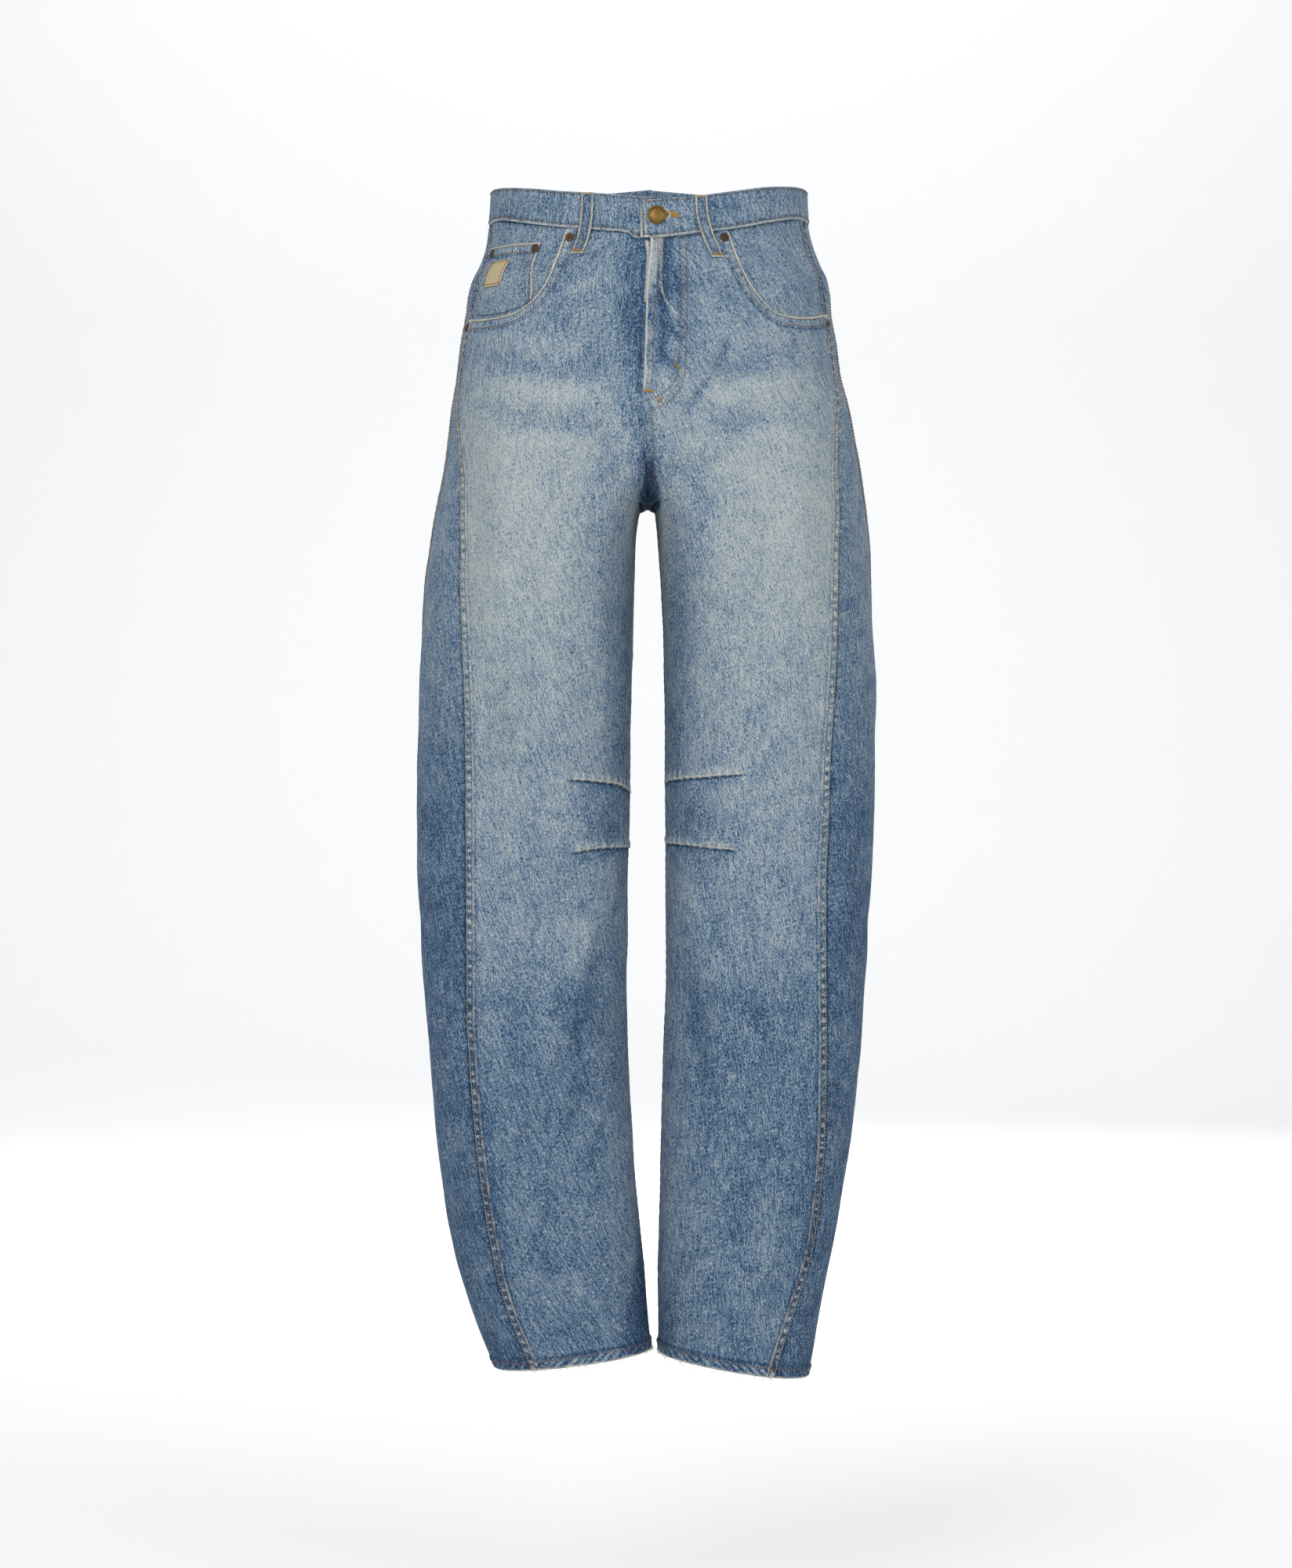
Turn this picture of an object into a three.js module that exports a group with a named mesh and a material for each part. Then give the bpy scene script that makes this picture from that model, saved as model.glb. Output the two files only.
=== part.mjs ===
// Barrel-leg jeans in faded denim, filled out with no wearer. Millimetres, +Z up, the front faces -Y,
// +X is the wearer's left. The origin is the middle of the waist, at half the height of the waistband.
//
// Every level section of the garment is built from one half section per side. A place on the cloth is
// told by its side (-1 wearer's right, 1 wearer's left), its reach along the cloth from the outermost
// line (negative to the front, positive to the back) and its height z.
import * as THREE from 'three';

// Cloth and sewing
const CLOTH = 1.5;
const BAND_CLOTH = 2.6;
const BAND_LIFT = 0.6;
const SEAM_GAP = 0.3;
const HEM_DEPTH = 10;
const HEM_LIFT = 0.8;
const LAP_LIFT = 1.9;
const LAP_WIDTH = 8;

// The crotch seam in the middle plane: its lowest height, and where its front and back ends leave it
const CROTCH = { low: -262, frontEnd: -205, backEnd: -190, roundness: 2.2 };

// Half width of the outline seen from the front, from the middle plane, for each leg
const OUTLINE = [
  { z: 45, right: 138.5, left: 141.5 }, { z: 15, right: 139.4, left: 142.2 },
  { z: -14, right: 141.2, left: 143.8 }, { z: -34, right: 144.4, left: 148.6 },
  { z: -48, right: 149.2, left: 154.2 }, { z: -62, right: 156.4, left: 160.8 },
  { z: -76, right: 159.6, left: 163.0 }, { z: -90, right: 161.2, left: 163.6 },
  { z: -118, right: 166.6, left: 168.0 }, { z: -146, right: 169.8, left: 171.8 },
  { z: -174, right: 174.0, left: 179.6 }, { z: -202, right: 177.8, left: 185.5 },
  { z: -230, right: 181.3, left: 190.3 }, { z: -258, right: 186.6, left: 194.4 },
  { z: -300, right: 194.4, left: 197.6 }, { z: -342, right: 199.4, left: 199.6 },
  { z: -426, right: 203.0, left: 202.8 }, { z: -510, right: 205.6, left: 202.8 },
  { z: -594, right: 204.9, left: 199.7 }, { z: -678, right: 200.9, left: 195.2 },
  { z: -762, right: 193.4, left: 188.5 }, { z: -846, right: 185.8, left: 178.5 },
  { z: -888, right: 179.9, left: 171.0 }, { z: -930, right: 171.3, left: 163.0 },
  { z: -972, right: 158.6, left: 154.8 }, { z: -1000, right: 148.2, left: 149.8 },
  { z: -1020, right: 139.6, left: 146.4 }, { z: -1045, right: 129.0, left: 142.0 },
];

// Distance of each inseam from the middle plane, below the crotch
const INSEAM = [
  { z: -262, right: 0.0, left: 0.0 }, { z: -262.6, right: 3.4, left: 3.2 },
  { z: -264, right: 5.6, left: 5.2 }, { z: -268, right: 7.2, left: 6.6 },
  { z: -278.6, right: 9.1, left: 7.9 }, { z: -300, right: 11.0, left: 9.8 },
  { z: -342, right: 12.6, left: 12.6 }, { z: -384, right: 13.4, left: 14.6 },
  { z: -468, right: 14.7, left: 16.0 }, { z: -552, right: 16.2, left: 16.2 },
  { z: -594, right: 17.3, left: 16.3 }, { z: -678, right: 18.4, left: 16.7 },
  { z: -720, right: 18.7, left: 15.6 }, { z: -762, right: 16.8, left: 14.0 },
  { z: -846, right: 11.9, left: 12.0 }, { z: -888, right: 8.2, left: 11.0 },
  { z: -930, right: 4.2, left: 10.0 }, { z: -972, right: 0.7, left: 9.8 },
  { z: -1000, right: -2.1, left: 9.8 }, { z: -1045, right: -6.5, left: 9.8 },
];

// Y of the front, the back and the widest line of each section
const DEPTH = [
  { z: 45, front: -88, back: 92, centre: 0 }, { z: -20, front: -94, back: 98, centre: 0 },
  { z: -60, front: -101, back: 109, centre: 2 }, { z: -100, front: -106, back: 120, centre: 4 },
  { z: -140, front: -110, back: 128, centre: 6 }, { z: -180, front: -112, back: 132, centre: 8 },
  { z: -220, front: -111, back: 130, centre: 8 }, { z: -262, front: -108, back: 120, centre: 8 },
  { z: -300, front: -104, back: 108, centre: 6 }, { z: -380, front: -96, back: 92, centre: 1 },
  { z: -470, front: -88, back: 81, centre: -2 }, { z: -510, front: -85, back: 78, centre: -3 },
  { z: -600, front: -80, back: 74, centre: -3 }, { z: -720, front: -76, back: 72, centre: -2 },
  { z: -850, front: -70, back: 68, centre: -1 }, { z: -950, front: -63, back: 62, centre: 0 },
  { z: -1045, front: -57, back: 60, centre: 1 },
];

// Share of the width inside the deepest line, and the superellipse powers of the outer and inner quarters
const SHAPE = [
  { z: 45, middle: 0.15, outer: 2.25, innerFront: 2.4, innerBack: 2.4 },
  { z: -60, middle: 0.22, outer: 2.2, innerFront: 2.6, innerBack: 2.6 },
  { z: -120, middle: 0.32, outer: 2.15, innerFront: 3.0, innerBack: 3.0 },
  { z: -180, middle: 0.41, outer: 2.12, innerFront: 3.8, innerBack: 3.4 },
  { z: -225, middle: 0.47, outer: 2.1, innerFront: 4.5, innerBack: 3.8 },
  { z: -262, middle: 0.5, outer: 2.1, innerFront: 4.2, innerBack: 3.6 },
  { z: -300, middle: 0.5, outer: 2.1, innerFront: 3.2, innerBack: 2.9 },
  { z: -380, middle: 0.5, outer: 2.12, innerFront: 2.4, innerBack: 2.4 },
  { z: -600, middle: 0.5, outer: 2.15, innerFront: 2.2, innerBack: 2.2 },
  { z: -1045, middle: 0.5, outer: 2.15, innerFront: 2.15, innerBack: 2.15 },
];

// Reach of the front and back seams of the side panels from the outermost line
const SIDE_SEAMS = [
  { z: 20, frontRight: -18, frontLeft: -26, backRight: 24, backLeft: 24 },
  { z: -23, frontRight: -22, frontLeft: -33, backRight: 20, backLeft: 20 },
  { z: -60, frontRight: -40, frontLeft: -43, backRight: 9, backLeft: 8 },
  { z: -96, frontRight: -37, frontLeft: -40, backRight: -2, backLeft: -3 },
  { z: -142, frontRight: -36, frontLeft: -45, backRight: -11, backLeft: -15 },
  { z: -207, frontRight: -62, frontLeft: -77, backRight: -18, backLeft: -24 },
  { z: -255, frontRight: -84, frontLeft: -90, backRight: -19, backLeft: -22 },
  { z: -305, frontRight: -93, frontLeft: -91, backRight: -12, backLeft: 0 },
  { z: -363, frontRight: -94, frontLeft: -90, backRight: 4, backLeft: 20 },
  { z: -440, frontRight: -93, frontLeft: -89, backRight: 42, backLeft: 48 },
  { z: -510, frontRight: -91, frontLeft: -88, backRight: 62, backLeft: 65 },
  { z: -647, frontRight: -84, frontLeft: -81, backRight: 74, backLeft: 74 },
  { z: -770, frontRight: -75, frontLeft: -68, backRight: 74, backLeft: 72 },
  { z: -853, frontRight: -73, frontLeft: -57, backRight: 72, backLeft: 68 },
  { z: -920, frontRight: -70, frontLeft: -51, backRight: 69, backLeft: 64 },
  { z: -960, frontRight: -67, frontLeft: -55, backRight: 67, backLeft: 63 },
  { z: -1030, frontRight: -68, frontLeft: -65, backRight: 66, backLeft: 64 },
];

// X of the edge of the wearer's left front, which laps over the right one down to the foot of the fly
const FLY_EDGE = [
  { z: 0, x: 3.0 }, { z: -48, x: 2.0 }, { z: -73, x: -0.7 }, { z: -104, x: -1.7 }, { z: -158, x: -3.4 },
  { z: -172, x: -4.2 }, { z: -212, x: -3.6 }, { z: -236, x: -1.0 }, { z: -250, x: 0 }, { z: -262, x: 0 },
];
const FLY_FOOT = { lapEnd: -166, liftEnd: -177, blend: 6 };

// Lower and upper edge of the waistband; turn runs from -1 at the front centre over 0 at the side to 1
const WAIST = [
  { turn: -1.3, seamRight: -36.6, seamLeft: -36.4, topRight: 0.4, topLeft: -2.6 },
  { turn: -0.99, seamRight: -36.2, seamLeft: -36.2, topRight: 0.6, topLeft: -2.4 },
  { turn: -0.94, seamRight: -31.2, seamLeft: -35.8, topRight: 1.0, topLeft: -1.6 },
  { turn: -0.86, seamRight: -30.2, seamLeft: -33.9, topRight: 1.8, topLeft: -0.5 },
  { turn: -0.76, seamRight: -28.6, seamLeft: -31.2, topRight: 3.2, topLeft: 1.4 },
  { turn: -0.6, seamRight: -25.3, seamLeft: -26.0, topRight: 5.9, topLeft: 6.0 },
  { turn: -0.44, seamRight: -20.2, seamLeft: -19.4, topRight: 10.2, topLeft: 11.4 },
  { turn: -0.22, seamRight: -13.4, seamLeft: -12.4, topRight: 15.4, topLeft: 16.0 },
  { turn: 0, seamRight: -12.3, seamLeft: -11.7, topRight: 18.4, topLeft: 18.3 },
  { turn: 0.5, seamRight: -4.6, seamLeft: -4.6, topRight: 27, topLeft: 27 },
  { turn: 1, seamRight: 4, seamLeft: 4, topRight: 36, topLeft: 36 },
];

// Mouth of each front pocket, from the waistband to the front seam, seen from the front
const SCOOP = {
  right: [
    { x: 70.8, z: -28.7 }, { x: 78.2, z: -50.9 }, { x: 85.6, z: -69.5 }, { x: 91.5, z: -80.0 },
    { x: 98.6, z: -88.2 }, { x: 104.8, z: -94.0 }, { x: 113.0, z: -98.8 }, { x: 123.5, z: -101.8 },
    { x: 134.1, z: -102.7 }, { x: 144.9, z: -102.4 }, { x: 154.0, z: -100.5 },
  ],
  left: [
    { x: 70.7, z: -30.9 }, { x: 78.1, z: -53.1 }, { x: 85.5, z: -69.6 }, { x: 91.2, z: -79.0 },
    { x: 97.8, z: -87.4 }, { x: 104.0, z: -94.4 }, { x: 110.1, z: -99.4 }, { x: 118.4, z: -102.2 },
    { x: 129.0, z: -102.9 }, { x: 143.3, z: -101.0 }, { x: 154.6, z: -96.6 },
  ],
};

// Height of each hem at its inner and outer edge
const HEM = {
  right: { innerX: -4, innerZ: -1012.5, outerX: 132, outerZ: -1028 },
  left: { innerX: 10, innerZ: -1015, outerX: 143, outerZ: -1036 },
};

// Yoke seam at the side seam and at the back centre
const YOKE = { sideZ: -56, centreZ: -84 };

// The largest folds, each a soft ridge (or a trough, where its height is negative) along a line on the cloth
const FOLDS = [
  { side: 'right', fromReach: -195, fromZ: -525, toReach: -160, toZ: -540, width: 42, height: 3.5 },
  { side: 'left', fromReach: -195, fromZ: -522, toReach: -160, toZ: -538, width: 42, height: 3.5 },
  { side: 'right', fromReach: -215, fromZ: -600, toReach: -120, toZ: -800, width: 17, height: 2.6 },
  { side: 'right', fromReach: -175, fromZ: -590, toReach: -100, toZ: -745, width: 13, height: -2.2 },
  { side: 'right', fromReach: -200, fromZ: -720, toReach: -150, toZ: -860, width: 14, height: -2.2 },
  { side: 'left', fromReach: -220, fromZ: -590, toReach: -130, toZ: -780, width: 17, height: 2.6 },
  { side: 'left', fromReach: -180, fromZ: -600, toReach: -105, toZ: -730, width: 13, height: -2.2 },
  { side: 'left', fromReach: -205, fromZ: -730, toReach: -150, toZ: -850, width: 14, height: -2.0 },
  { side: 'left', fromReach: -150, fromZ: -125, toReach: -232, toZ: -205, width: 11, height: -2.6 },
  { side: 'left', fromReach: -130, fromZ: -140, toReach: -215, toZ: -222, width: 13, height: 2.2 },
  { side: 'right', fromReach: -120, fromZ: -160, toReach: -215, toZ: -190, width: 12, height: 1.8 },
  { side: 'right', fromReach: 60, fromZ: -520, toReach: 150, toZ: -600, width: 20, height: -3.0 },
  { side: 'right', fromReach: 150, fromZ: -540, toReach: 215, toZ: -500, width: 18, height: 3.0 },
  { side: 'left', fromReach: 60, fromZ: -515, toReach: 150, toZ: -590, width: 20, height: -3.0 },
  { side: 'left', fromReach: 150, fromZ: -550, toReach: 215, toZ: -505, width: 18, height: 3.0 },
  { side: 'right', fromReach: 110, fromZ: -262, toReach: 225, toZ: -300, width: 18, height: -3.0 },
  { side: 'left', fromReach: 110, fromZ: -265, toReach: 225, toZ: -298, width: 18, height: -3.0 },
  { side: 'right', fromReach: 10, fromZ: -700, toReach: 90, toZ: -860, width: 20, height: -2.4 },
  { side: 'left', fromReach: 5, fromZ: -690, toReach: 90, toZ: -850, width: 20, height: -2.4 },
];

// Heights of the rows below the hips, closer together round the crotch
const LEG_ROWS = [
  -150, -160, -166, -177, -205, -228, -245, -256, -262, -263, -267, -278.6, -305, -345, -395, -450, -508,
  -565, -625, -690, -750, -805, -850, -890, -925, -957, -985,
];

const DENIM = { color: '#6f92b5', roughness: 0.85, metalness: 0 };
const DENIM_DARK = { color: '#54779f', roughness: 0.88, metalness: 0 };
const DENIM_PALE = { color: '#8fa9bf', roughness: 0.85, metalness: 0 };
const BRASS = { color: '#8a7448', roughness: 0.45, metalness: 0.85 };
const BRONZE = { color: '#4d3d22', roughness: 0.5, metalness: 0.8 };
const TAB = { color: '#c3b190', roughness: 0.7, metalness: 0 };

const SIDES = [{ sign: -1, key: 'right', cap: 'Right' }, { sign: 1, key: 'left', cap: 'Left' }];

const group = new THREE.Group();

function add(name, geometry, finish) {
  const mesh = new THREE.Mesh(geometry, new THREE.MeshStandardMaterial(finish));
  mesh.name = name;
  group.add(mesh);
  return mesh;
}

const clamp = (v, low, high) => Math.min(high, Math.max(low, v));
const lerp = (a, b, t) => a + (b - a) * t;

function smooth(v) {
  const t = clamp(v, 0, 1);
  return t * t * (3 - 2 * t);
}

// A smooth curve through a table's column that never overshoots its rows
function track(rows, at, column) {
  const sorted = [...rows].sort((p, q) => p[at] - q[at]);
  const xs = sorted.map((row) => row[at]);
  const vs = sorted.map((row) => row[column]);
  const h = [];
  const m = [];
  for (let i = 0; i + 1 < xs.length; i++) {
    h.push(xs[i + 1] - xs[i]);
    m.push((vs[i + 1] - vs[i]) / h[i]);
  }
  const d = [m[0]];
  for (let i = 1; i + 1 < xs.length; i++) {
    const w1 = 2 * h[i] + h[i - 1];
    const w2 = h[i] + 2 * h[i - 1];
    d.push(m[i - 1] * m[i] > 0 ? (w1 + w2) / (w1 / m[i - 1] + w2 / m[i]) : 0);
  }
  d.push(m[m.length - 1]);
  return (value) => {
    const x = clamp(value, xs[0], xs[xs.length - 1]);
    let i = 0;
    while (i < h.length - 1 && x > xs[i + 1]) i++;
    const t = (x - xs[i]) / h[i];
    const u = 1 - t;
    return (1 + 2 * t) * u * u * vs[i] + t * u * u * h[i] * d[i]
      + t * t * (3 - 2 * t) * vs[i + 1] - t * t * u * h[i] * d[i + 1];
  };
}

const byName = (rows, at, columns) => Object.fromEntries(columns.map((c) => [c, track(rows, at, c)]));
const outline = byName(OUTLINE, 'z', ['right', 'left']);
const inseam = byName(INSEAM, 'z', ['right', 'left']);
const depth = byName(DEPTH, 'z', ['front', 'back', 'centre']);
const shape = byName(SHAPE, 'z', ['middle', 'outer', 'innerFront', 'innerBack']);
const seams = byName(SIDE_SEAMS, 'z', ['frontRight', 'frontLeft', 'backRight', 'backLeft']);
const waist = byName(WAIST, 'turn', ['seamRight', 'seamLeft', 'topRight', 'topLeft']);
const flyEdge = track(FLY_EDGE, 'z', 'x');

// How far the middle of the trunk has closed at a height, 1 for open and 0 at the crotch
function opening(z, end) {
  const t = clamp((end - z) / (end - CROTCH.low), 0, 1);
  return (1 - t ** CROTCH.roundness) ** (1 / CROTCH.roundness);
}

// Points of one half section, from the outermost line to the middle plane or the inseam, with their reach
const QUARTER_STEPS = 40;
const sections = new Map();
function halfSection(side, z, back) {
  const key = `${side.key} ${z.toFixed(3)} ${back}`;
  if (sections.has(key)) return sections.get(key);
  const out = outline[side.key](z);
  const inner = z > CROTCH.low ? 0 : inseam[side.key](z);
  const middle = lerp(inner, out, shape.middle(z));
  const centre = depth.centre(z);
  const bulge = back ? depth.back(z) - centre : centre - depth.front(z);
  const outerPower = shape.outer(z);
  const innerPower = back ? shape.innerBack(z) : shape.innerFront(z);
  const closed = 1 - opening(z, back ? CROTCH.backEnd : CROTCH.frontEnd) ** innerPower;
  const way = back ? 1 : -1;
  const points = [];
  for (let k = 0; k <= QUARTER_STEPS; k++) {
    const angle = (k / QUARTER_STEPS) * Math.PI / 2;
    const cos = Math.max(0, Math.cos(angle));
    points.push({
      u: lerp(middle, out, cos ** (2 / outerPower)),
      y: centre + way * bulge * Math.sin(angle) ** (2 / outerPower),
    });
  }
  for (let k = 1; k <= QUARTER_STEPS; k++) {
    const w = 1 - (1 - k / QUARTER_STEPS) ** 2;
    const share = Math.max(0, 1 - closed * w ** innerPower) ** (1 / innerPower);
    points.push({ u: lerp(middle, inner, w), y: centre + way * bulge * share });
  }
  points[0].reach = 0;
  for (let k = 1; k < points.length; k++) {
    const step = Math.hypot(points[k].u - points[k - 1].u, points[k].y - points[k - 1].y);
    points[k].reach = points[k - 1].reach + step;
  }
  sections.set(key, points);
  return points;
}

const halfLength = (side, z, back) => halfSection(side, z, back).at(-1).reach;

// The point of the plain cloth surface at a reach and height; past the middle it runs straight on
function surface(side, reach, z) {
  const points = halfSection(side, z, reach > 0);
  const want = Math.abs(reach);
  let k = 1;
  while (k < points.length - 1 && points[k].reach < want) k++;
  const p = points[k - 1];
  const q = points[k];
  const t = (want - p.reach) / (q.reach - p.reach);
  return new THREE.Vector3(side.sign * lerp(p.u, q.u, t), lerp(p.y, q.y, t), z);
}

const NORMAL_STEP = { reach: 4, z: 6 };
function normal(side, reach, z) {
  const along = surface(side, reach + NORMAL_STEP.reach, z).sub(surface(side, reach - NORMAL_STEP.reach, z));
  const up = surface(side, reach, z + NORMAL_STEP.z).sub(surface(side, reach, z - NORMAL_STEP.z));
  return along.cross(up).normalize().multiplyScalar(side.sign);
}

// Reach of the place on the front whose distance from the middle plane is u
function frontReach(side, u, z) {
  const points = halfSection(side, z, false);
  const last = points.at(-1);
  if (u <= last.u) return -(last.reach + last.u - u);
  let k = 1;
  while (k < points.length - 1 && points[k].u > u) k++;
  const p = points[k - 1];
  const q = points[k];
  return -lerp(p.reach, q.reach, clamp((p.u - u) / (p.u - q.u), 0, 1));
}

// Turn round the waist, from -1 at the front centre to 1 at the back centre
function turnOf(side, reach) {
  return reach / halfLength(side, 0, reach > 0);
}
const waistSeam = (side, reach) => waist[`seam${side.cap}`](turnOf(side, reach));
const waistTop = (side, reach) => waist[`top${side.cap}`](turnOf(side, reach));
const frontSeam = (side, z) => seams[`front${side.cap}`](z);
const backSeam = (side, z) => seams[`back${side.cap}`](z);

// A closed wall from a grid of places: each has a point on the outer face and one on the inner face
function wall(grid) {
  const rows = grid.length;
  const columns = grid[0].length;
  const outer = [];
  const inner = [];
  for (const row of grid) {
    for (const place of row) {
      outer.push(place.outer.x, place.outer.y, place.outer.z);
      inner.push(place.inner.x, place.inner.y, place.inner.z);
    }
  }
  const shift = rows * columns;
  const index = [];
  const quad = (a, b, c, d) => index.push(a, b, c, a, c, d);
  for (let r = 0; r + 1 < rows; r++) {
    for (let c = 0; c + 1 < columns; c++) {
      const a = r * columns + c;
      quad(a, a + columns, a + columns + 1, a + 1);
      quad(shift + a, shift + a + 1, shift + a + columns + 1, shift + a + columns);
    }
  }
  const rim = [];
  for (let c = 0; c < columns; c++) rim.push(c);
  for (let r = 1; r < rows; r++) rim.push(r * columns + columns - 1);
  for (let c = columns - 2; c >= 0; c--) rim.push((rows - 1) * columns + c);
  for (let r = rows - 2; r > 0; r--) rim.push(r * columns);
  rim.forEach((a, k) => {
    const b = rim[(k + 1) % rim.length];
    quad(a, b, shift + b, shift + a);
  });
  const positions = new Float32Array([...outer, ...inner]);
  if (signedVolume(positions, index) < 0) {
    for (let k = 0; k < index.length; k += 3) [index[k], index[k + 1]] = [index[k + 1], index[k]];
  }
  const geometry = new THREE.BufferGeometry();
  geometry.setAttribute('position', new THREE.BufferAttribute(positions, 3));
  geometry.setIndex(index);
  return geometry;
}

function signedVolume(positions, index) {
  const corner = (i) => new THREE.Vector3().fromArray(positions, index[i] * 3);
  let volume = 0;
  for (let i = 0; i < index.length; i += 3) volume += corner(i).dot(corner(i + 1).cross(corner(i + 2)));
  return volume;
}

// Height that the folds add at a place: each is a soft ridge, or a trough, along a straight line on the cloth
function foldLift(side, reach, z) {
  let sum = 0;
  for (const fold of FOLDS) {
    if (fold.side !== side.key) continue;
    const run = fold.toReach - fold.fromReach;
    const drop = fold.toZ - fold.fromZ;
    const long = run * run + drop * drop;
    const t = clamp(((reach - fold.fromReach) * run + (z - fold.fromZ) * drop) / long, 0, 1);
    const off = Math.hypot(reach - fold.fromReach - t * run, z - fold.fromZ - t * drop) / fold.width;
    if (off < 3) sum += fold.height * (0.35 + 2.6 * t * (1 - t)) * Math.exp(-off * off);
  }
  return sum;
}

// One place of a wall: its outer face lies `lift` above the folded surface
function place(side, reach, z, above = 0, cloth = CLOTH) {
  const base = surface(side, reach, z);
  const out = normal(side, reach, z);
  const lift = above + foldLift(side, reach, z);
  return {
    outer: base.clone().addScaledVector(out, lift),
    inner: base.clone().addScaledVector(out, lift - cloth),
  };
}

// Height of the hem under a place: the lowest rows tilt to it
const HEM_BLEND = { from: -925, to: -985 };
function hemHeight(side, reach) {
  const hem = HEM[side.key];
  const u = side.sign * surface(side, reach, -1020).x;
  return lerp(hem.innerZ, hem.outerZ, (u - hem.innerX) / (hem.outerX - hem.innerX));
}

function tilted(side, reach, z) {
  const t = smooth((HEM_BLEND.from - z) / (HEM_BLEND.from - HEM_BLEND.to));
  return z + t * 0.5 * (hemHeight(side, reach) + 1020);
}

// The rows of a leg panel below the hips, down to the turned hem; `between` gives the reaches at a height
function legRows(side, between, liftAt = () => 0) {
  const at = (z, c) => between(z)[c];
  const columns = between(LEG_ROWS[0]).map((_, c) => c);
  const rows = LEG_ROWS.map((z) => columns.map((c) => {
    const level = tilted(side, at(z, c), z);
    return place(side, at(level, c), level, liftAt(at(level, c), level));
  }));
  for (const above of [HEM_DEPTH + 1, HEM_DEPTH, 0]) {
    const lift = above > HEM_DEPTH ? 0 : HEM_LIFT;
    rows.push(columns.map((c) => {
      const level = hemHeight(side, at(-1020, c)) + above;
      return place(side, at(level, c), level, lift, CLOTH + lift);
    }));
  }
  return rows;
}

const spread = (from, to, count) => Array.from({ length: count + 1 }, (_, i) => lerp(from, to, i / count));

// Reaches across a front or back panel: narrow strips from the middle seam or inseam round the inner corner,
// then equal ones to the side panel. The strips also hold the lap of the fly.
const CORNER_COLUMNS = { width: 24, lap: LAP_WIDTH + 0.5, lapFoot: LAP_WIDTH + 6.5, slack: 30 };
const PLAIN_COLUMNS = 8;
function panelSpread(inner, corner, seam) {
  const way = Math.sign(seam - inner);
  const extra = Math.max(0, Math.abs(corner - inner) - CORNER_COLUMNS.slack);
  return [
    inner,
    inner + way * (CORNER_COLUMNS.lap + 0.36 * extra),
    inner + way * (CORNER_COLUMNS.lapFoot + 0.68 * extra),
    ...spread(corner, seam, PLAIN_COLUMNS),
  ];
}

const innerWidth = (side, z) => (z > CROTCH.low ? 0 : inseam[side.key](z));

// Inner edge of a front panel: the fly lap, the front seam below it, then the inseam
function frontInnerReach(side, z) {
  if (z <= CROTCH.low) return -halfLength(side, z, false) + SEAM_GAP / 2;
  const lap = smooth((z - FLY_FOOT.lapEnd) / FLY_FOOT.blend) * (LAP_WIDTH - SEAM_GAP);
  const own = side.key === 'right' ? lap - SEAM_GAP / 2 : SEAM_GAP / 2;
  return frontReach(side, side.sign * (flyEdge(z) + own), z);
}

function lapLift(side, reach, z) {
  if (side.key === 'right') return 0;
  const past = reach - frontInnerReach(side, z);
  const foot = smooth((z - FLY_FOOT.liftEnd) / (FLY_FOOT.lapEnd - FLY_FOOT.liftEnd));
  return LAP_LIFT * foot * smooth((LAP_WIDTH + 6 - past) / 5.5);
}

// The upper edge of a front panel: along the waistband, then round the pocket mouth
const HIP_Z = LEG_ROWS[0];
function frontTop(side) {
  const mouth = SCOOP[side.key];
  const line = [];
  const start = frontInnerReach(side, waist[`seam${side.cap}`](-1));
  const mouthReach = frontReach(side, mouth[0].x, mouth[0].z);
  for (const reach of spread(start, mouthReach, 12)) {
    line.push({ reach, z: waistSeam(side, reach) - SEAM_GAP });
  }
  const curve = new THREE.CatmullRomCurve3(mouth.map((p) => new THREE.Vector3(p.x, 0, p.z)));
  const endZ = mouth.at(-1).z + 1;
  for (const p of curve.getSpacedPoints(36).slice(1)) line.push({ reach: frontReach(side, p.x, p.z), z: p.z });
  line.push({ reach: frontSeam(side, endZ) - SEAM_GAP / 2, z: endZ });
  return line;
}

function along(line, shares) {
  const lengths = [0];
  for (let k = 1; k < line.length; k++) {
    lengths.push(lengths[k - 1] + Math.hypot(line[k].reach - line[k - 1].reach, line[k].z - line[k - 1].z));
  }
  const total = lengths.at(-1);
  return shares.map((share) => {
    let k = 1;
    while (k < line.length - 1 && lengths[k] < share * total) k++;
    const t = clamp((share * total - lengths[k - 1]) / (lengths[k] - lengths[k - 1]), 0, 1);
    return { reach: lerp(line[k - 1].reach, line[k].reach, t), z: lerp(line[k - 1].z, line[k].z, t) };
  });
}

const HIP_ROWS = 6;
function frontEdge(side, z) {
  const corner = frontReach(side, innerWidth(side, z) + CORNER_COLUMNS.width, z);
  return panelSpread(frontInnerReach(side, z), corner, frontSeam(side, z) - SEAM_GAP / 2);
}

function frontPanel(side) {
  const bottom = frontEdge(side, HIP_Z);
  const width = bottom.at(-1) - bottom[0];
  const top = along(frontTop(side), bottom.map((reach) => (reach - bottom[0]) / width));
  const rows = [];
  for (let r = 0; r < HIP_ROWS; r++) {
    const t = r / HIP_ROWS;
    rows.push(top.map((p, c) => {
      const z = lerp(p.z, HIP_Z, t);
      const edge = frontEdge(side, z);
      const fixed = c < 3 || c === top.length - 1;
      const reach = fixed ? edge[c] : lerp(p.reach, bottom[c], t);
      return place(side, reach, z, lapLift(side, reach, z));
    }));
  }
  rows.push(...legRows(side, (z) => frontEdge(side, z), (reach, z) => lapLift(side, reach, z)));
  return wall(rows);
}

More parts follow.
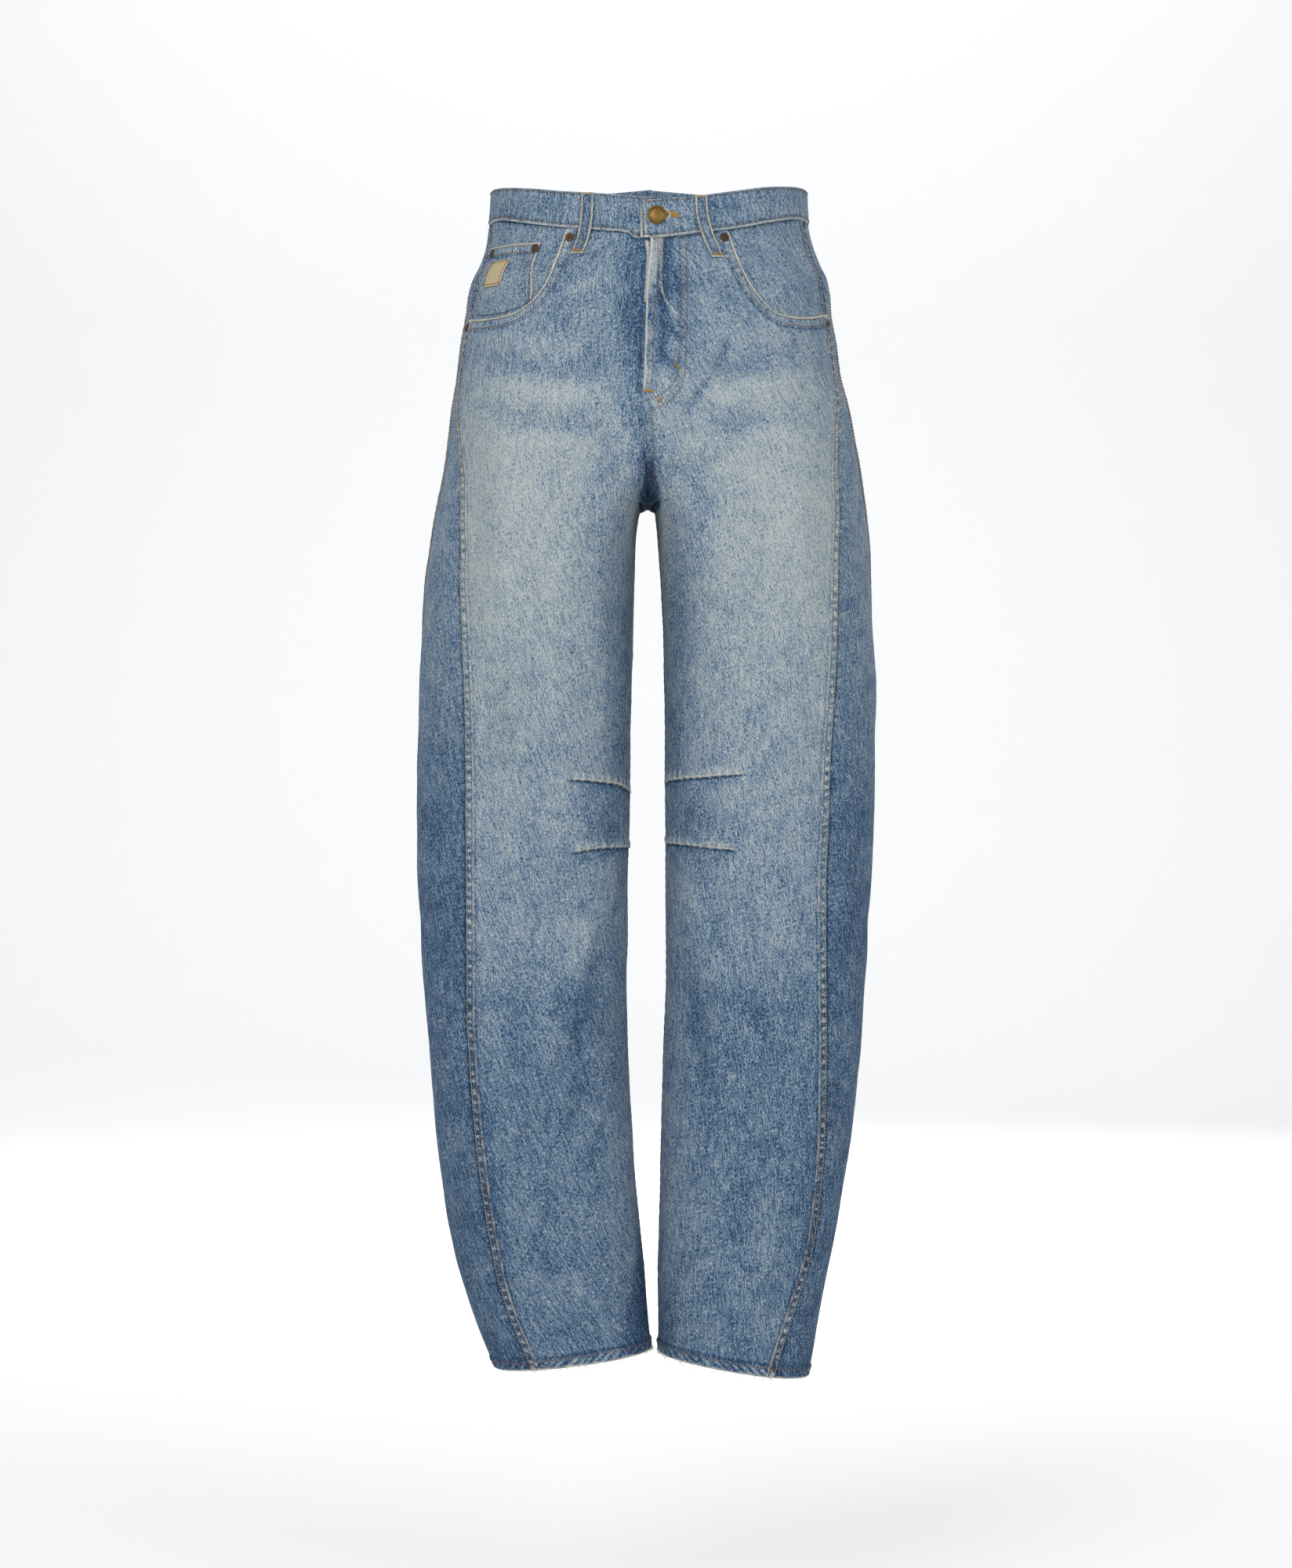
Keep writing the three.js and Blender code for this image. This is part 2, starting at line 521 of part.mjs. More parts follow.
// Rows of the side and back panels above the hips: those of the front panel's side edge, and some above
function upperRows(side, topZ) {
  const endZ = SCOOP[side.key].at(-1).z + 1;
  return [...spread(topZ, endZ, 5).slice(0, -1), ...spread(endZ, HIP_Z, HIP_ROWS).slice(0, -1)];
}

const SIDE_COLUMNS = 5;
function sidePanel(side) {
  const edge = (z) => spread(frontSeam(side, z) + SEAM_GAP / 2, backSeam(side, z) - SEAM_GAP / 2, SIDE_COLUMNS);
  const top = edge(-12).map((reach) => waistSeam(side, reach) - SEAM_GAP);
  const levels = upperRows(side, -20);
  const rows = levels.map((z, r) => edge(z).map((reach, c) => {
    const level = r === 0 ? top[c] : z;
    return place(side, reach, level);
  }));
  rows.push(...legRows(side, edge));
  return wall(rows);
}

const yokeSeam = (side, reach, z) => lerp(YOKE.sideZ, YOKE.centreZ, reach / halfLength(side, z, true));

function backReach(side, u, z) {
  const points = halfSection(side, z, true);
  let k = 1;
  while (k < points.length - 1 && points[k].u > u) k++;
  const p = points[k - 1];
  const q = points[k];
  return lerp(p.reach, q.reach, clamp((p.u - u) / (p.u - q.u), 0, 1));
}

function backEdge(side, z) {
  const corner = backReach(side, innerWidth(side, z) + CORNER_COLUMNS.width, z);
  const inner = halfLength(side, z, true) - SEAM_GAP / 2;
  return panelSpread(inner, corner, backSeam(side, z) + SEAM_GAP / 2);
}

function backPanel(side) {
  const rows = [];
  const bottom = backEdge(side, HIP_Z);
  const top = backEdge(side, YOKE.sideZ).map((reach) => yokeSeam(side, reach, YOKE.sideZ) - SEAM_GAP / 2);
  const upper = 5;
  for (let r = 0; r < upper; r++) {
    rows.push(bottom.map((_, c) => {
      const z = lerp(top[c], HIP_Z, r / upper);
      const reach = backEdge(side, z)[c];
      return place(side, reach, z);
    }));
  }
  rows.push(...legRows(side, (z) => backEdge(side, z)));
  return wall(rows);
}

function yoke(side) {
  const rows = [];
  const steps = 4;
  const bottom = backEdge(side, YOKE.sideZ).map((reach) => yokeSeam(side, reach, YOKE.sideZ) + SEAM_GAP / 2);
  const top = backEdge(side, 0).map((reach) => waistSeam(side, reach) - SEAM_GAP);
  for (let r = 0; r <= steps; r++) {
    rows.push(bottom.map((_, c) => {
      const z = lerp(top[c], bottom[c], r / steps);
      return place(side, backEdge(side, z)[c], z);
    }));
  }
  return wall(rows);
}

// Denim behind the pocket mouth, under the front panel and reaching below its edge
const FACING_DEPTH = 2.7;
const FACING_OVERLAP = 18;
const FACING_CLOTH = 1.2;
const FACING_TUCK = 3;
function mouthHeight(side) {
  const curve = new THREE.CatmullRomCurve3(SCOOP[side.key].map((p) => new THREE.Vector3(p.x, 0, p.z)));
  const samples = curve.getSpacedPoints(60);
  return (u) => {
    if (u >= samples.at(-1).x) return samples.at(-1).z;
    let k = 1;
    while (k < samples.length - 1 && samples[k].x < u) k++;
    const t = clamp((u - samples[k - 1].x) / (samples[k].x - samples[k - 1].x), 0, 1);
    return lerp(samples[k - 1].z, samples[k].z, t);
  };
}

function facing(side) {
  const height = mouthHeight(side);
  const inner = frontReach(side, SCOOP[side.key][0].x - FACING_OVERLAP, -30);
  const columns = 13;
  const steps = 8;
  const rows = [];
  for (let r = 0; r <= steps; r++) {
    const t = r / steps;
    rows.push(Array.from({ length: columns + 1 }, (_, c) => {
      const share = c / columns;
      const guess = lerp(inner, frontSeam(side, -60), share);
      const u = side.sign * surface(side, guess, -60).x;
      const top = waistSeam(side, guess) + FACING_TUCK;
      const low = height(u + FACING_OVERLAP * (1 - share)) - FACING_OVERLAP * smooth(share * 3);
      const z = lerp(top, low, t);
      const reach = lerp(inner, frontSeam(side, z) + 1.5, share);
      return place(side, reach, z, -FACING_DEPTH, FACING_CLOTH);
    }));
  }
  return wall(rows);
}

// A patch laid on a panel: corners in reach and height, moved out from the panel's own surface
function patch(side, outlineAt, columns, steps, lift, cloth) {
  const rows = [];
  for (let r = 0; r <= steps; r++) {
    rows.push(spread(0, 1, columns).map((share) => {
      const p = outlineAt(share, r / steps);
      return place(side, p.reach, p.z, lift + cloth, cloth);
    }));
  }
  return wall(rows);
}

// Coin pocket: from its hemmed top down to the mouth of the front pocket
const COIN = {
  innerU: 93, innerLowU: 101, clear: 4, topInnerZ: -38.4, topOuterZ: -36.6, outerGap: 1.2,
  lift: -2.3, cloth: 1.2,
};
function coinPocket(side) {
  const height = mouthHeight(side);
  return patch(side, (share, down) => {
    const topOuter = frontSeam(side, -37) - COIN.outerGap;
    const topReach = lerp(frontReach(side, COIN.innerU, COIN.topInnerZ), topOuter, share);
    const topZ = lerp(COIN.topInnerZ, COIN.topOuterZ, share);
    const lowOuter = frontSeam(side, -95) - COIN.outerGap;
    const lowReach = lerp(frontReach(side, COIN.innerLowU, -86), lowOuter, share);
    const u = side.sign * surface(side, lowReach, -95).x;
    const z = lerp(topZ, height(u) + COIN.clear, down);
    const edge = lerp(topReach, lowReach, smooth(down));
    const reach = share === 1 ? frontSeam(side, z) - COIN.outerGap : edge;
    return { reach, z };
  }, 9, 7, COIN.lift, COIN.cloth);
}

// Small plain tab sewn on the coin pocket
const TAB_PIECE = { innerReach: -82, outerReach: -58, topZ: -51, lowZ: -74, gap: 0.4, cloth: 0.8 };
function tabPiece(side) {
  return patch(side, (share, down) => {
    const corner = Math.abs(2 * share - 1) ** 6 * Math.abs(2 * down - 1) ** 6;
    const pull = 1 - 0.08 * corner;
    return {
      reach: lerp(TAB_PIECE.innerReach, TAB_PIECE.outerReach, 0.5 + (share - 0.5) * pull),
      z: lerp(TAB_PIECE.topZ, TAB_PIECE.lowZ, 0.5 + (down - 0.5) * pull),
    };
  }, 4, 4, COIN.lift + COIN.cloth + TAB_PIECE.gap, TAB_PIECE.cloth);
}

// Back patch pocket, told by distance from the back centre
const BACK_POCKET = {
  inner: 30, outer: 158, taper: 0.1, topInner: -104, topOuter: -96, shoulder: -218, point: -240,
  lift: 0.7, cloth: 1.3,
};
function backPocket(side) {
  return patch(side, (share, down) => {
    const fromCentre = lerp(BACK_POCKET.inner, BACK_POCKET.outer, share);
    const narrow = 1 - BACK_POCKET.taper * down;
    const middle = (BACK_POCKET.inner + BACK_POCKET.outer) / 2;
    const low = lerp(BACK_POCKET.point, BACK_POCKET.shoulder, Math.abs(2 * share - 1));
    const z = lerp(lerp(BACK_POCKET.topInner, BACK_POCKET.topOuter, share), low, down);
    return { reach: halfLength(side, z, true) - (middle + (fromCentre - middle) * narrow), z };
  }, 10, 9, BACK_POCKET.lift, BACK_POCKET.cloth);
}

// The waistband: one strip from its under end at the front, round the back, to its lapped end
const BAND_ENDS = { under: 30, underFrom: -22, underFull: -9, over: -6.2 };
function waistband() {
  const [right, left] = SIDES;
  const places = [];
  const push = (side, reach) => {
    const x = surface(side, reach, -15).x;
    const isRight = side.key === 'right' && reach < 0;
    const under = isRight ? smooth((x - BAND_ENDS.underFrom) / (BAND_ENDS.underFull - BAND_ENDS.underFrom)) : 0;
    places.push({ side, reach, lift: BAND_LIFT - under * (BAND_CLOTH + 0.5) });
  };
  const frontR = frontReach(right, -BAND_ENDS.under, -15);
  const frontL = frontReach(left, BAND_ENDS.over, -15);
  for (const reach of spread(frontR, frontReach(right, 24, -15), 5)) push(right, reach);
  for (const reach of spread(frontReach(right, 24, -15), 0, 12).slice(1)) push(right, reach);
  for (const reach of spread(0, halfLength(right, 0, true), 13).slice(1)) push(right, reach);
  for (const reach of spread(halfLength(left, 0, true), 0, 13).slice(1)) push(left, reach);
  for (const reach of spread(0, frontL, 15).slice(1)) push(left, reach);
  const steps = 2;
  const rows = [];
  for (let r = 0; r <= steps; r++) {
    rows.push(places.map(({ side, reach, lift }) => {
      const z = lerp(waistSeam(side, reach), waistTop(side, reach), r / steps);
      return place(side, reach, z, lift, BAND_CLOTH);
    }));
  }
  return wall(rows);
}

// A belt loop: a strip over the waistband, pressed down at both ends and standing a little off between
const LOOP = { width: 10.4, cloth: 1.4, stand: 2.2, crown: 0.4, low: 0.6, band: 1.1, above: -0.5, below: 22 };
const FRONT_LOOPS = { right: { topX: 52.4, lowX: 60.8 }, left: { topX: 46.4, lowX: 58.4 } };
const BACK_LOOP_REACH = 95;
function beltLoop(side, topReach, lowReach) {
  const steps = 12;
  const topZ = waistTop(side, topReach) + LOOP.above;
  const lowZ = waistSeam(side, lowReach) - LOOP.below;
  const rows = spread(0, 1, steps).map((t) => {
    const z = lerp(topZ, lowZ, t);
    const reach = lerp(topReach, lowReach, t);
    const onBand = smooth((z - waistSeam(side, reach) + 9) / 7);
    const seat = lerp(LOOP.low, LOOP.band, onBand);
    const arch = Math.sin(Math.PI * clamp((t - 0.06) / 0.8, 0, 1)) ** 0.8;
    return spread(-0.5, 0.5, 2).map((share) => {
      const crown = LOOP.crown * (1 - 4 * share * share);
      const lift = seat + LOOP.stand * arch + crown + LOOP.cloth;
      return place(side, reach + share * LOOP.width, z, lift, LOOP.cloth);
    });
  });
  return wall(rows);
}

// A turned metal piece standing on the cloth
function seated(geometry, side, reach, z, lift) {
  const out = normal(side, reach, z);
  const turn = new THREE.Quaternion().setFromUnitVectors(new THREE.Vector3(0, 1, 0), out);
  geometry.applyQuaternion(turn);
  const at = surface(side, reach, z).addScaledVector(out, lift);
  geometry.translate(at.x, at.y, at.z);
  return geometry;
}

function lathe(profile, segments) {
  return new THREE.LatheGeometry(profile.map((p) => new THREE.Vector2(p.r, p.h)), segments);
}

const BUTTON = { radius: 8.2, height: 3.6, x: 8.1, z: -17 };
function button() {
  const r = BUTTON.radius;
  const h = BUTTON.height;
  const profile = [
    { r: 0, h: 0 }, { r: 3, h: 0 }, { r: 3, h: 1.2 }, { r: r * 0.93, h: 1.4 }, { r, h: 2.2 }, { r, h: 2.9 },
    { r: r * 0.92, h }, { r: r * 0.82, h: h - 0.5 }, { r: r * 0.4, h: h - 0.3 }, { r: 0, h: h - 0.2 },
  ];
  const side = SIDES[1];
  return seated(lathe(profile, 24), side, frontReach(side, BUTTON.x, BUTTON.z), BUTTON.z, BAND_LIFT + SEAM_GAP);
}

const RIVET_RADIUS = 3.9;
function rivet(side, reach, z, lift) {
  const r = RIVET_RADIUS;
  const profile = [
    { r: 0, h: 0 }, { r: r * 0.97, h: 0 }, { r, h: 0.4 }, { r: r * 0.7, h: 1.0 }, { r: r * 0.45, h: 0.9 },
    { r: r * 0.3, h: 1.5 }, { r: 0, h: 1.7 },
  ];
  return seated(lathe(profile, 12), side, reach, z, lift + 0.4);
}

const RIVETS = [
  { name: 'rivet_scoop_right', side: 0, x: 67.3, z: -35.8, lift: 0 },
  { name: 'rivet_scoop_left', side: 1, x: 66.6, z: -35.9, lift: 0 },
  { name: 'rivet_coin_inner', side: 0, x: 97.9, z: -43.8, lift: COIN.lift + COIN.cloth },
  { name: 'rivet_coin_outer', side: 0, x: 137.2, z: -42.8, lift: COIN.lift + COIN.cloth },
  { name: 'rivet_side_right', side: 0, x: 159.2, z: -107, lift: 0 },
  { name: 'rivet_side_left', side: 1, x: 159.0, z: -103, lift: 0 },
];

for (const side of SIDES) {
  add(`front_panel_${side.key}`, frontPanel(side), DENIM);
  add(`side_panel_${side.key}`, sidePanel(side), DENIM_DARK);
  add(`back_panel_${side.key}`, backPanel(side), DENIM);
  add(`back_yoke_${side.key}`, yoke(side), DENIM);
  add(`back_pocket_${side.key}`, backPocket(side), DENIM_PALE);
  add(`pocket_facing_${side.key}`, facing(side), DENIM_DARK);
}
add('waistband', waistband(), DENIM_PALE);
add('coin_pocket', coinPocket(SIDES[0]), DENIM);
add('plain_tab', tabPiece(SIDES[0]), TAB);
for (const side of SIDES) {
  const { topX, lowX } = FRONT_LOOPS[side.key];
  const front = beltLoop(side, frontReach(side, topX, 0), frontReach(side, lowX, -50));
  add(`belt_loop_front_${side.key}`, front, DENIM);
  add(`belt_loop_back_${side.key}`, beltLoop(side, BACK_LOOP_REACH, BACK_LOOP_REACH), DENIM);
}
const backMiddle = halfLength(SIDES[1], 30, true);
add('belt_loop_back_centre', beltLoop(SIDES[1], backMiddle, backMiddle), DENIM);
add('waist_button', button(), BRASS);
for (const { name, side, x, z, lift } of RIVETS) {
  add(name, rivet(SIDES[side], frontReach(SIDES[side], x, z), z, lift), BRONZE);
}

export default group;
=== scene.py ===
import math
import bpy
import numpy as np
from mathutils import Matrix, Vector


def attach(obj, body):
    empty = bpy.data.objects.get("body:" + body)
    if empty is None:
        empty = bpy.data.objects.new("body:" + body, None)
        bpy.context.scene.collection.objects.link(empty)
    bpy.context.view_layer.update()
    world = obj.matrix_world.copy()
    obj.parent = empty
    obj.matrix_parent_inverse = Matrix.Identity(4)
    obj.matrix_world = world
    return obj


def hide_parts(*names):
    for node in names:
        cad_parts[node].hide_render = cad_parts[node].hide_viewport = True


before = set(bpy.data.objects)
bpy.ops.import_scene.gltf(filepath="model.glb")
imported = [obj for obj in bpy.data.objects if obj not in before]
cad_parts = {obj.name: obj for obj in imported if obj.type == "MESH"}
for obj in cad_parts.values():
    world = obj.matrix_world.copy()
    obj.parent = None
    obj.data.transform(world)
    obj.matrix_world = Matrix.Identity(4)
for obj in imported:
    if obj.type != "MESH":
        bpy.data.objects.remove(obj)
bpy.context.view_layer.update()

# Barrel-leg jeans in worn light-blue denim. Lengths are millimetres on the cloth and become metres when a
# mesh is made. A place on the cloth is told by its side (-1 wearer's right, 1 wearer's left), its reach along
# the cloth from the outermost line (negative to the front, positive to the back) and its height z.
SEED = 7
CLOTH = 1.5
BAND_CLOTH = 2.6
BAND_LIFT = 0.6
SEAM_GAP = 0.3
HEM_DEPTH = 10
HEM_LIFT = 0.8
LAP_LIFT = 1.9
LAP_WIDTH = 8
LAP_END = -166
LAP_LIFT_END = -177
HIP_Z = -150
CROTCH_LOW = -262
CROTCH_FRONT = -205
CROTCH_BACK = -190
CROTCH_ROUND = 2.2
HEM_Z = -1020.0
HEM_BLEND_FROM = -925
HEM_BLEND_TO = -985
EDGES = ("start", "end", "top", "low")
EDGE_NEAR = 26
WEDGE_TOP = -225
WEDGE_X = 2
PRESS_LIFT = 1.6
ALL = 1e9

# Half width of the outline seen from the front: z, right, left
OUTLINE = [
    (45, 138.5, 141.5), (15, 139.4, 142.2), (-14, 141.2, 143.8), (-34, 144.4, 148.6), (-48, 149.2, 154.2),
    (-62, 156.4, 160.8), (-76, 159.6, 163.0), (-90, 161.2, 163.6), (-118, 166.6, 168.0),
    (-146, 169.8, 171.8), (-174, 174.0, 179.6), (-202, 177.8, 185.5), (-230, 181.3, 190.3),
    (-258, 186.6, 194.4), (-300, 194.4, 197.6), (-342, 199.4, 199.6), (-426, 203.0, 202.8),
    (-510, 205.6, 202.8), (-594, 204.9, 199.7), (-678, 200.9, 195.2), (-762, 193.4, 188.5),
    (-846, 185.8, 178.5), (-888, 179.9, 171.0), (-930, 171.3, 163.0), (-972, 158.6, 154.8),
    (-1000, 148.2, 149.8), (-1020, 139.6, 146.4), (-1045, 129.0, 142.0),
]

# Distance of each inseam from the middle plane, below the crotch: z, right, left
INSEAM = [
    (-262, 0.0, 0.0), (-262.6, 3.4, 3.2), (-264, 5.6, 5.2), (-268, 7.2, 6.6), (-278.6, 9.1, 7.9),
    (-300, 11.0, 9.8), (-342, 12.6, 12.6), (-384, 13.4, 14.6), (-468, 14.7, 16.0), (-552, 16.2, 16.2),
    (-594, 17.3, 16.3), (-678, 18.4, 16.7), (-720, 18.7, 15.6), (-762, 16.8, 14.0), (-846, 11.9, 12.0),
    (-888, 8.2, 11.0), (-930, 4.2, 10.0), (-972, 0.7, 9.8), (-1000, -2.1, 9.8), (-1045, -6.5, 9.8),
]

# Y of the front, the back and the widest line: z, front, back, centre
DEPTH = [
    (45, -88, 92, 0), (-20, -94, 98, 0), (-60, -101, 109, 2), (-100, -106, 120, 4), (-140, -110, 128, 6),
    (-180, -112, 132, 8), (-220, -111, 130, 8), (-262, -108, 120, 8), (-300, -104, 108, 6),
    (-380, -96, 92, 1), (-470, -88, 81, -2), (-510, -85, 78, -3), (-600, -80, 74, -3), (-720, -76, 72, -2),
    (-850, -70, 68, -1), (-950, -63, 62, 0), (-1045, -57, 60, 1),
]

# Share of the width inside the deepest line, and the superellipse powers:
# z, middle, outer, inner front, inner back
SHAPE = [
    (45, 0.15, 2.25, 2.4, 2.4), (-60, 0.22, 2.2, 2.6, 2.6), (-120, 0.32, 2.15, 3.0, 3.0),
    (-180, 0.41, 2.12, 3.8, 3.4), (-225, 0.47, 2.1, 4.5, 3.8), (-262, 0.5, 2.1, 4.2, 3.6),
    (-300, 0.5, 2.1, 3.2, 2.9), (-380, 0.5, 2.12, 2.4, 2.4), (-600, 0.5, 2.15, 2.2, 2.2),
    (-1045, 0.5, 2.15, 2.15, 2.15),
]

# Reach of the seams of the side panels: z, front right, front left, back right, back left
SIDE_SEAMS = [
    (20, -18, -26, 24, 24), (-23, -22, -33, 20, 20), (-60, -40, -43, 9, 8), (-96, -37, -40, -2, -3),
    (-142, -36, -45, -11, -15), (-207, -62, -77, -18, -24), (-255, -84, -90, -19, -22),
    (-305, -93, -91, -12, 0), (-363, -94, -90, 4, 20), (-440, -93, -89, 42, 48), (-510, -91, -88, 62, 65),
    (-647, -84, -81, 74, 74), (-770, -75, -68, 74, 72), (-853, -73, -57, 72, 68), (-920, -70, -51, 69, 64),
    (-960, -67, -55, 67, 63), (-1030, -68, -65, 66, 64),
]

# X of the edge of the left front, which laps over the right one: z, x
FLY_EDGE = [
    (0, 3.0), (-48, 2.0), (-73, -0.7), (-104, -1.7), (-158, -3.4), (-172, -4.2), (-212, -3.6), (-236, -1.0),
    (-250, 0), (-262, 0),
]

# Lower and upper edge of the waistband, turn from -1 (front centre) to 1 (back centre):
# turn, seam right, seam left, top right, top left
WAIST = [
    (-1.3, -36.6, -36.4, 0.4, -2.6), (-0.99, -36.2, -36.2, 0.6, -2.4), (-0.94, -31.2, -35.8, 1.0, -1.6),
    (-0.86, -30.2, -33.9, 1.8, -0.5), (-0.76, -28.6, -31.2, 3.2, 1.4), (-0.6, -25.3, -26.0, 5.9, 6.0),
    (-0.44, -20.2, -19.4, 10.2, 11.4), (-0.22, -13.4, -12.4, 15.4, 16.0), (0, -12.3, -11.7, 18.4, 18.3),
    (0.5, -4.6, -4.6, 27, 27), (1, 4, 4, 36, 36),
]

# The largest folds: side, from reach, from z, to reach, to z, width, height
FOLDS = [
    (-1, -195, -525, -160, -540, 42, 3.5), (1, -195, -522, -160, -538, 42, 3.5),
    (-1, -215, -600, -120, -800, 17, 2.6), (-1, -175, -590, -100, -745, 13, -2.2),
    (-1, -200, -720, -150, -860, 14, -2.2), (1, -220, -590, -130, -780, 17, 2.6),
    (1, -180, -600, -105, -730, 13, -2.2), (1, -205, -730, -150, -850, 14, -2.0),
    (1, -150, -125, -232, -205, 11, -2.6), (1, -130, -140, -215, -222, 13, 2.2),
    (-1, -120, -160, -215, -190, 12, 1.8), (-1, 60, -520, 150, -600, 20, -3.0),
    (-1, 150, -540, 215, -500, 18, 3.0), (1, 60, -515, 150, -590, 20, -3.0),
    (1, 150, -550, 215, -505, 18, 3.0), (-1, 110, -262, 225, -300, 18, -3.0),
    (1, 110, -265, 225, -298, 18, -3.0), (-1, 10, -700, 90, -860, 20, -2.4),
    (1, 5, -690, 90, -850, 20, -2.4),
]

# Mouth of each front pocket seen from the front: x, z
SCOOP = {
    -1: [(70.8, -28.7), (78.2, -50.9), (85.6, -69.5), (91.5, -80.0), (98.6, -88.2), (104.8, -94.0),
         (113.0, -98.8), (123.5, -101.8), (134.1, -102.7), (144.9, -102.4), (154.0, -100.5)],
    1: [(70.7, -30.9), (78.1, -53.1), (85.5, -69.6), (91.2, -79.0), (97.8, -87.4), (104.0, -94.4),
        (110.1, -99.4), (118.4, -102.2), (129.0, -102.9), (143.3, -101.0), (154.6, -96.6)],
}
# Height of each hem by side: inner x, inner z, outer x, outer z
HEM = {-1: (-4, -1012.5, 132, -1028), 1: (10, -1015, 143, -1036)}
YOKE_SIDE_Z = -56.0
YOKE_CENTRE_Z = -84
FACING_DEPTH = 2.7
FACING_OVERLAP = 18
FACING_CLOTH = 1.2
FACING_TUCK = 3
COIN = dict(inner=93, inner_low=101, clear=4, top_inner=-38.4, top_outer=-36.6, gap=1.2, lift=-2.3, cloth=1.2)
TAB = dict(inner=-82, outer=-58, top=-51, low=-74, lift=-0.7, cloth=0.8)
BACK_POCKET = dict(inner=30, outer=158, taper=0.1, top_inner=-104, top_outer=-96, shoulder=-218, point=-240,
                   lift=0.7, cloth=1.3)
LOOP = dict(width=10.4, cloth=1.4, stand=2.2, low=0.6, band=1.1, above=-0.5, below=22)
BAND_ENDS = dict(under=30, under_from=-22, under_full=-9, over=-6.2)
BUTTON_AT = (8.1, -17)


def lerp(a, b, t):
    return a + (b - a) * t


def smooth(v):
    t = np.clip(v, 0, 1)
    return t * t * (3 - 2 * t)


def track(rows, column):
    """A smooth curve through a table's column that never overshoots its rows."""
    ordered = sorted(rows)
    xs = np.array([row[0] for row in ordered], float)
    vs = np.array([row[column] for row in ordered], float)
    h = np.diff(xs)
    m = np.diff(vs) / h
    d = np.zeros_like(vs)
    d[0] = m[0]
    d[-1] = m[-1]
    for i in range(1, len(vs) - 1):
        if m[i - 1] * m[i] > 0:
            w1 = 2 * h[i] + h[i - 1]
            w2 = h[i] + 2 * h[i - 1]
            d[i] = (w1 + w2) / (w1 / m[i - 1] + w2 / m[i])

    def value(x):
        x = np.clip(x, xs[0], xs[-1])
        i = np.clip(np.searchsorted(xs, x, side="right") - 1, 0, len(h) - 1)
        t = (x - xs[i]) / h[i]
        u = 1 - t
        return ((1 + 2 * t) * u * u * vs[i] + t * u * u * h[i] * d[i]
                + t * t * (3 - 2 * t) * vs[i + 1] - t * t * u * h[i] * d[i + 1])
    return value


def sided(rows, right, left):
    return {-1: track(rows, right), 1: track(rows, left)}


outline = sided(OUTLINE, 1, 2)
inseam = sided(INSEAM, 1, 2)
front_y, back_y, centre_y = (track(DEPTH, i) for i in (1, 2, 3))
middle_share, outer_power, front_power, back_power = (track(SHAPE, i) for i in (1, 2, 3, 4))
front_seam = sided(SIDE_SEAMS, 1, 2)
back_seam = sided(SIDE_SEAMS, 3, 4)
fly_edge = track(FLY_EDGE, 1)
waist_seam_at = sided(WAIST, 1, 2)
waist_top_at = sided(WAIST, 3, 4)

# Tables of the level sections, from which the surface is looked up
QUARTER_STEPS = 40
Z_LOW = -1056.0
Z_HIGH = 60.0
Z_STEP = 0.5
REACH_MAX = 430
WIDTH_FROM = -30.0
WIDTH_TO = 215.0
PAST_END = 80.0
# Where the deepest lines start to part above the crotch: z, distance that the inseams take from them
PARTING = [(-245, 0.0), (-262, 3.4), (-280, 8.0)]


def parting(side, z):
    if z <= PARTING[-1][0]:
        return float(inseam[side](z))
    return float(np.interp(-z, [-row[0] for row in PARTING], [row[1] for row in PARTING]))


def half_section(side, z, back):
    """A level half section: u across, y and reach, run on past its end, and the reach of its end."""
    out = float(outline[side](z))
    inner = 0.0 if z > CROTCH_LOW else float(inseam[side](z))
    soft = parting(side, z)
    middle = lerp(soft, out, float(middle_share(z)))
    centre = float(centre_y(z))
    bulge = float(back_y(z)) - centre if back else centre - float(front_y(z))
    outer = float(outer_power(z))
    power = float(back_power(z) if back else front_power(z))
    end = CROTCH_BACK if back else CROTCH_FRONT
    t = min(1.0, max(0.0, (end - z) / (end - CROTCH_LOW)))
    closed = 1 - ((1 - t ** CROTCH_ROUND) ** (1 / CROTCH_ROUND)) ** power
    way = 1 if back else -1
    angle = np.linspace(0, math.pi / 2, QUARTER_STEPS + 1)
    w = 1 - (1 - np.arange(1, QUARTER_STEPS + 1) / QUARTER_STEPS) ** 2
    cos = np.clip(np.cos(angle), 0, 1)
    inside = lerp(middle, soft, w) + (inner - soft) * w ** 6
    u = np.concatenate([lerp(middle, out, cos ** (2 / outer)), inside])
    share = np.clip(1 - closed * w ** power, 0, 1) ** (1 / power)
    y = centre + way * bulge * np.concatenate([np.sin(angle) ** (2 / outer), share])
    steps = np.hypot(np.diff(u), np.diff(y))
    reach = np.concatenate([[0], np.cumsum(steps)])
    past = PAST_END / max(steps[-1], 1e-6)
    u_past = u[-1] + (u[-1] - u[-2]) * past
    y_past = y[-1] + (y[-1] - y[-2]) * past
    return np.append(u, u_past), np.append(y, y_past), np.append(reach, reach[-1] + PAST_END), reach[-1]


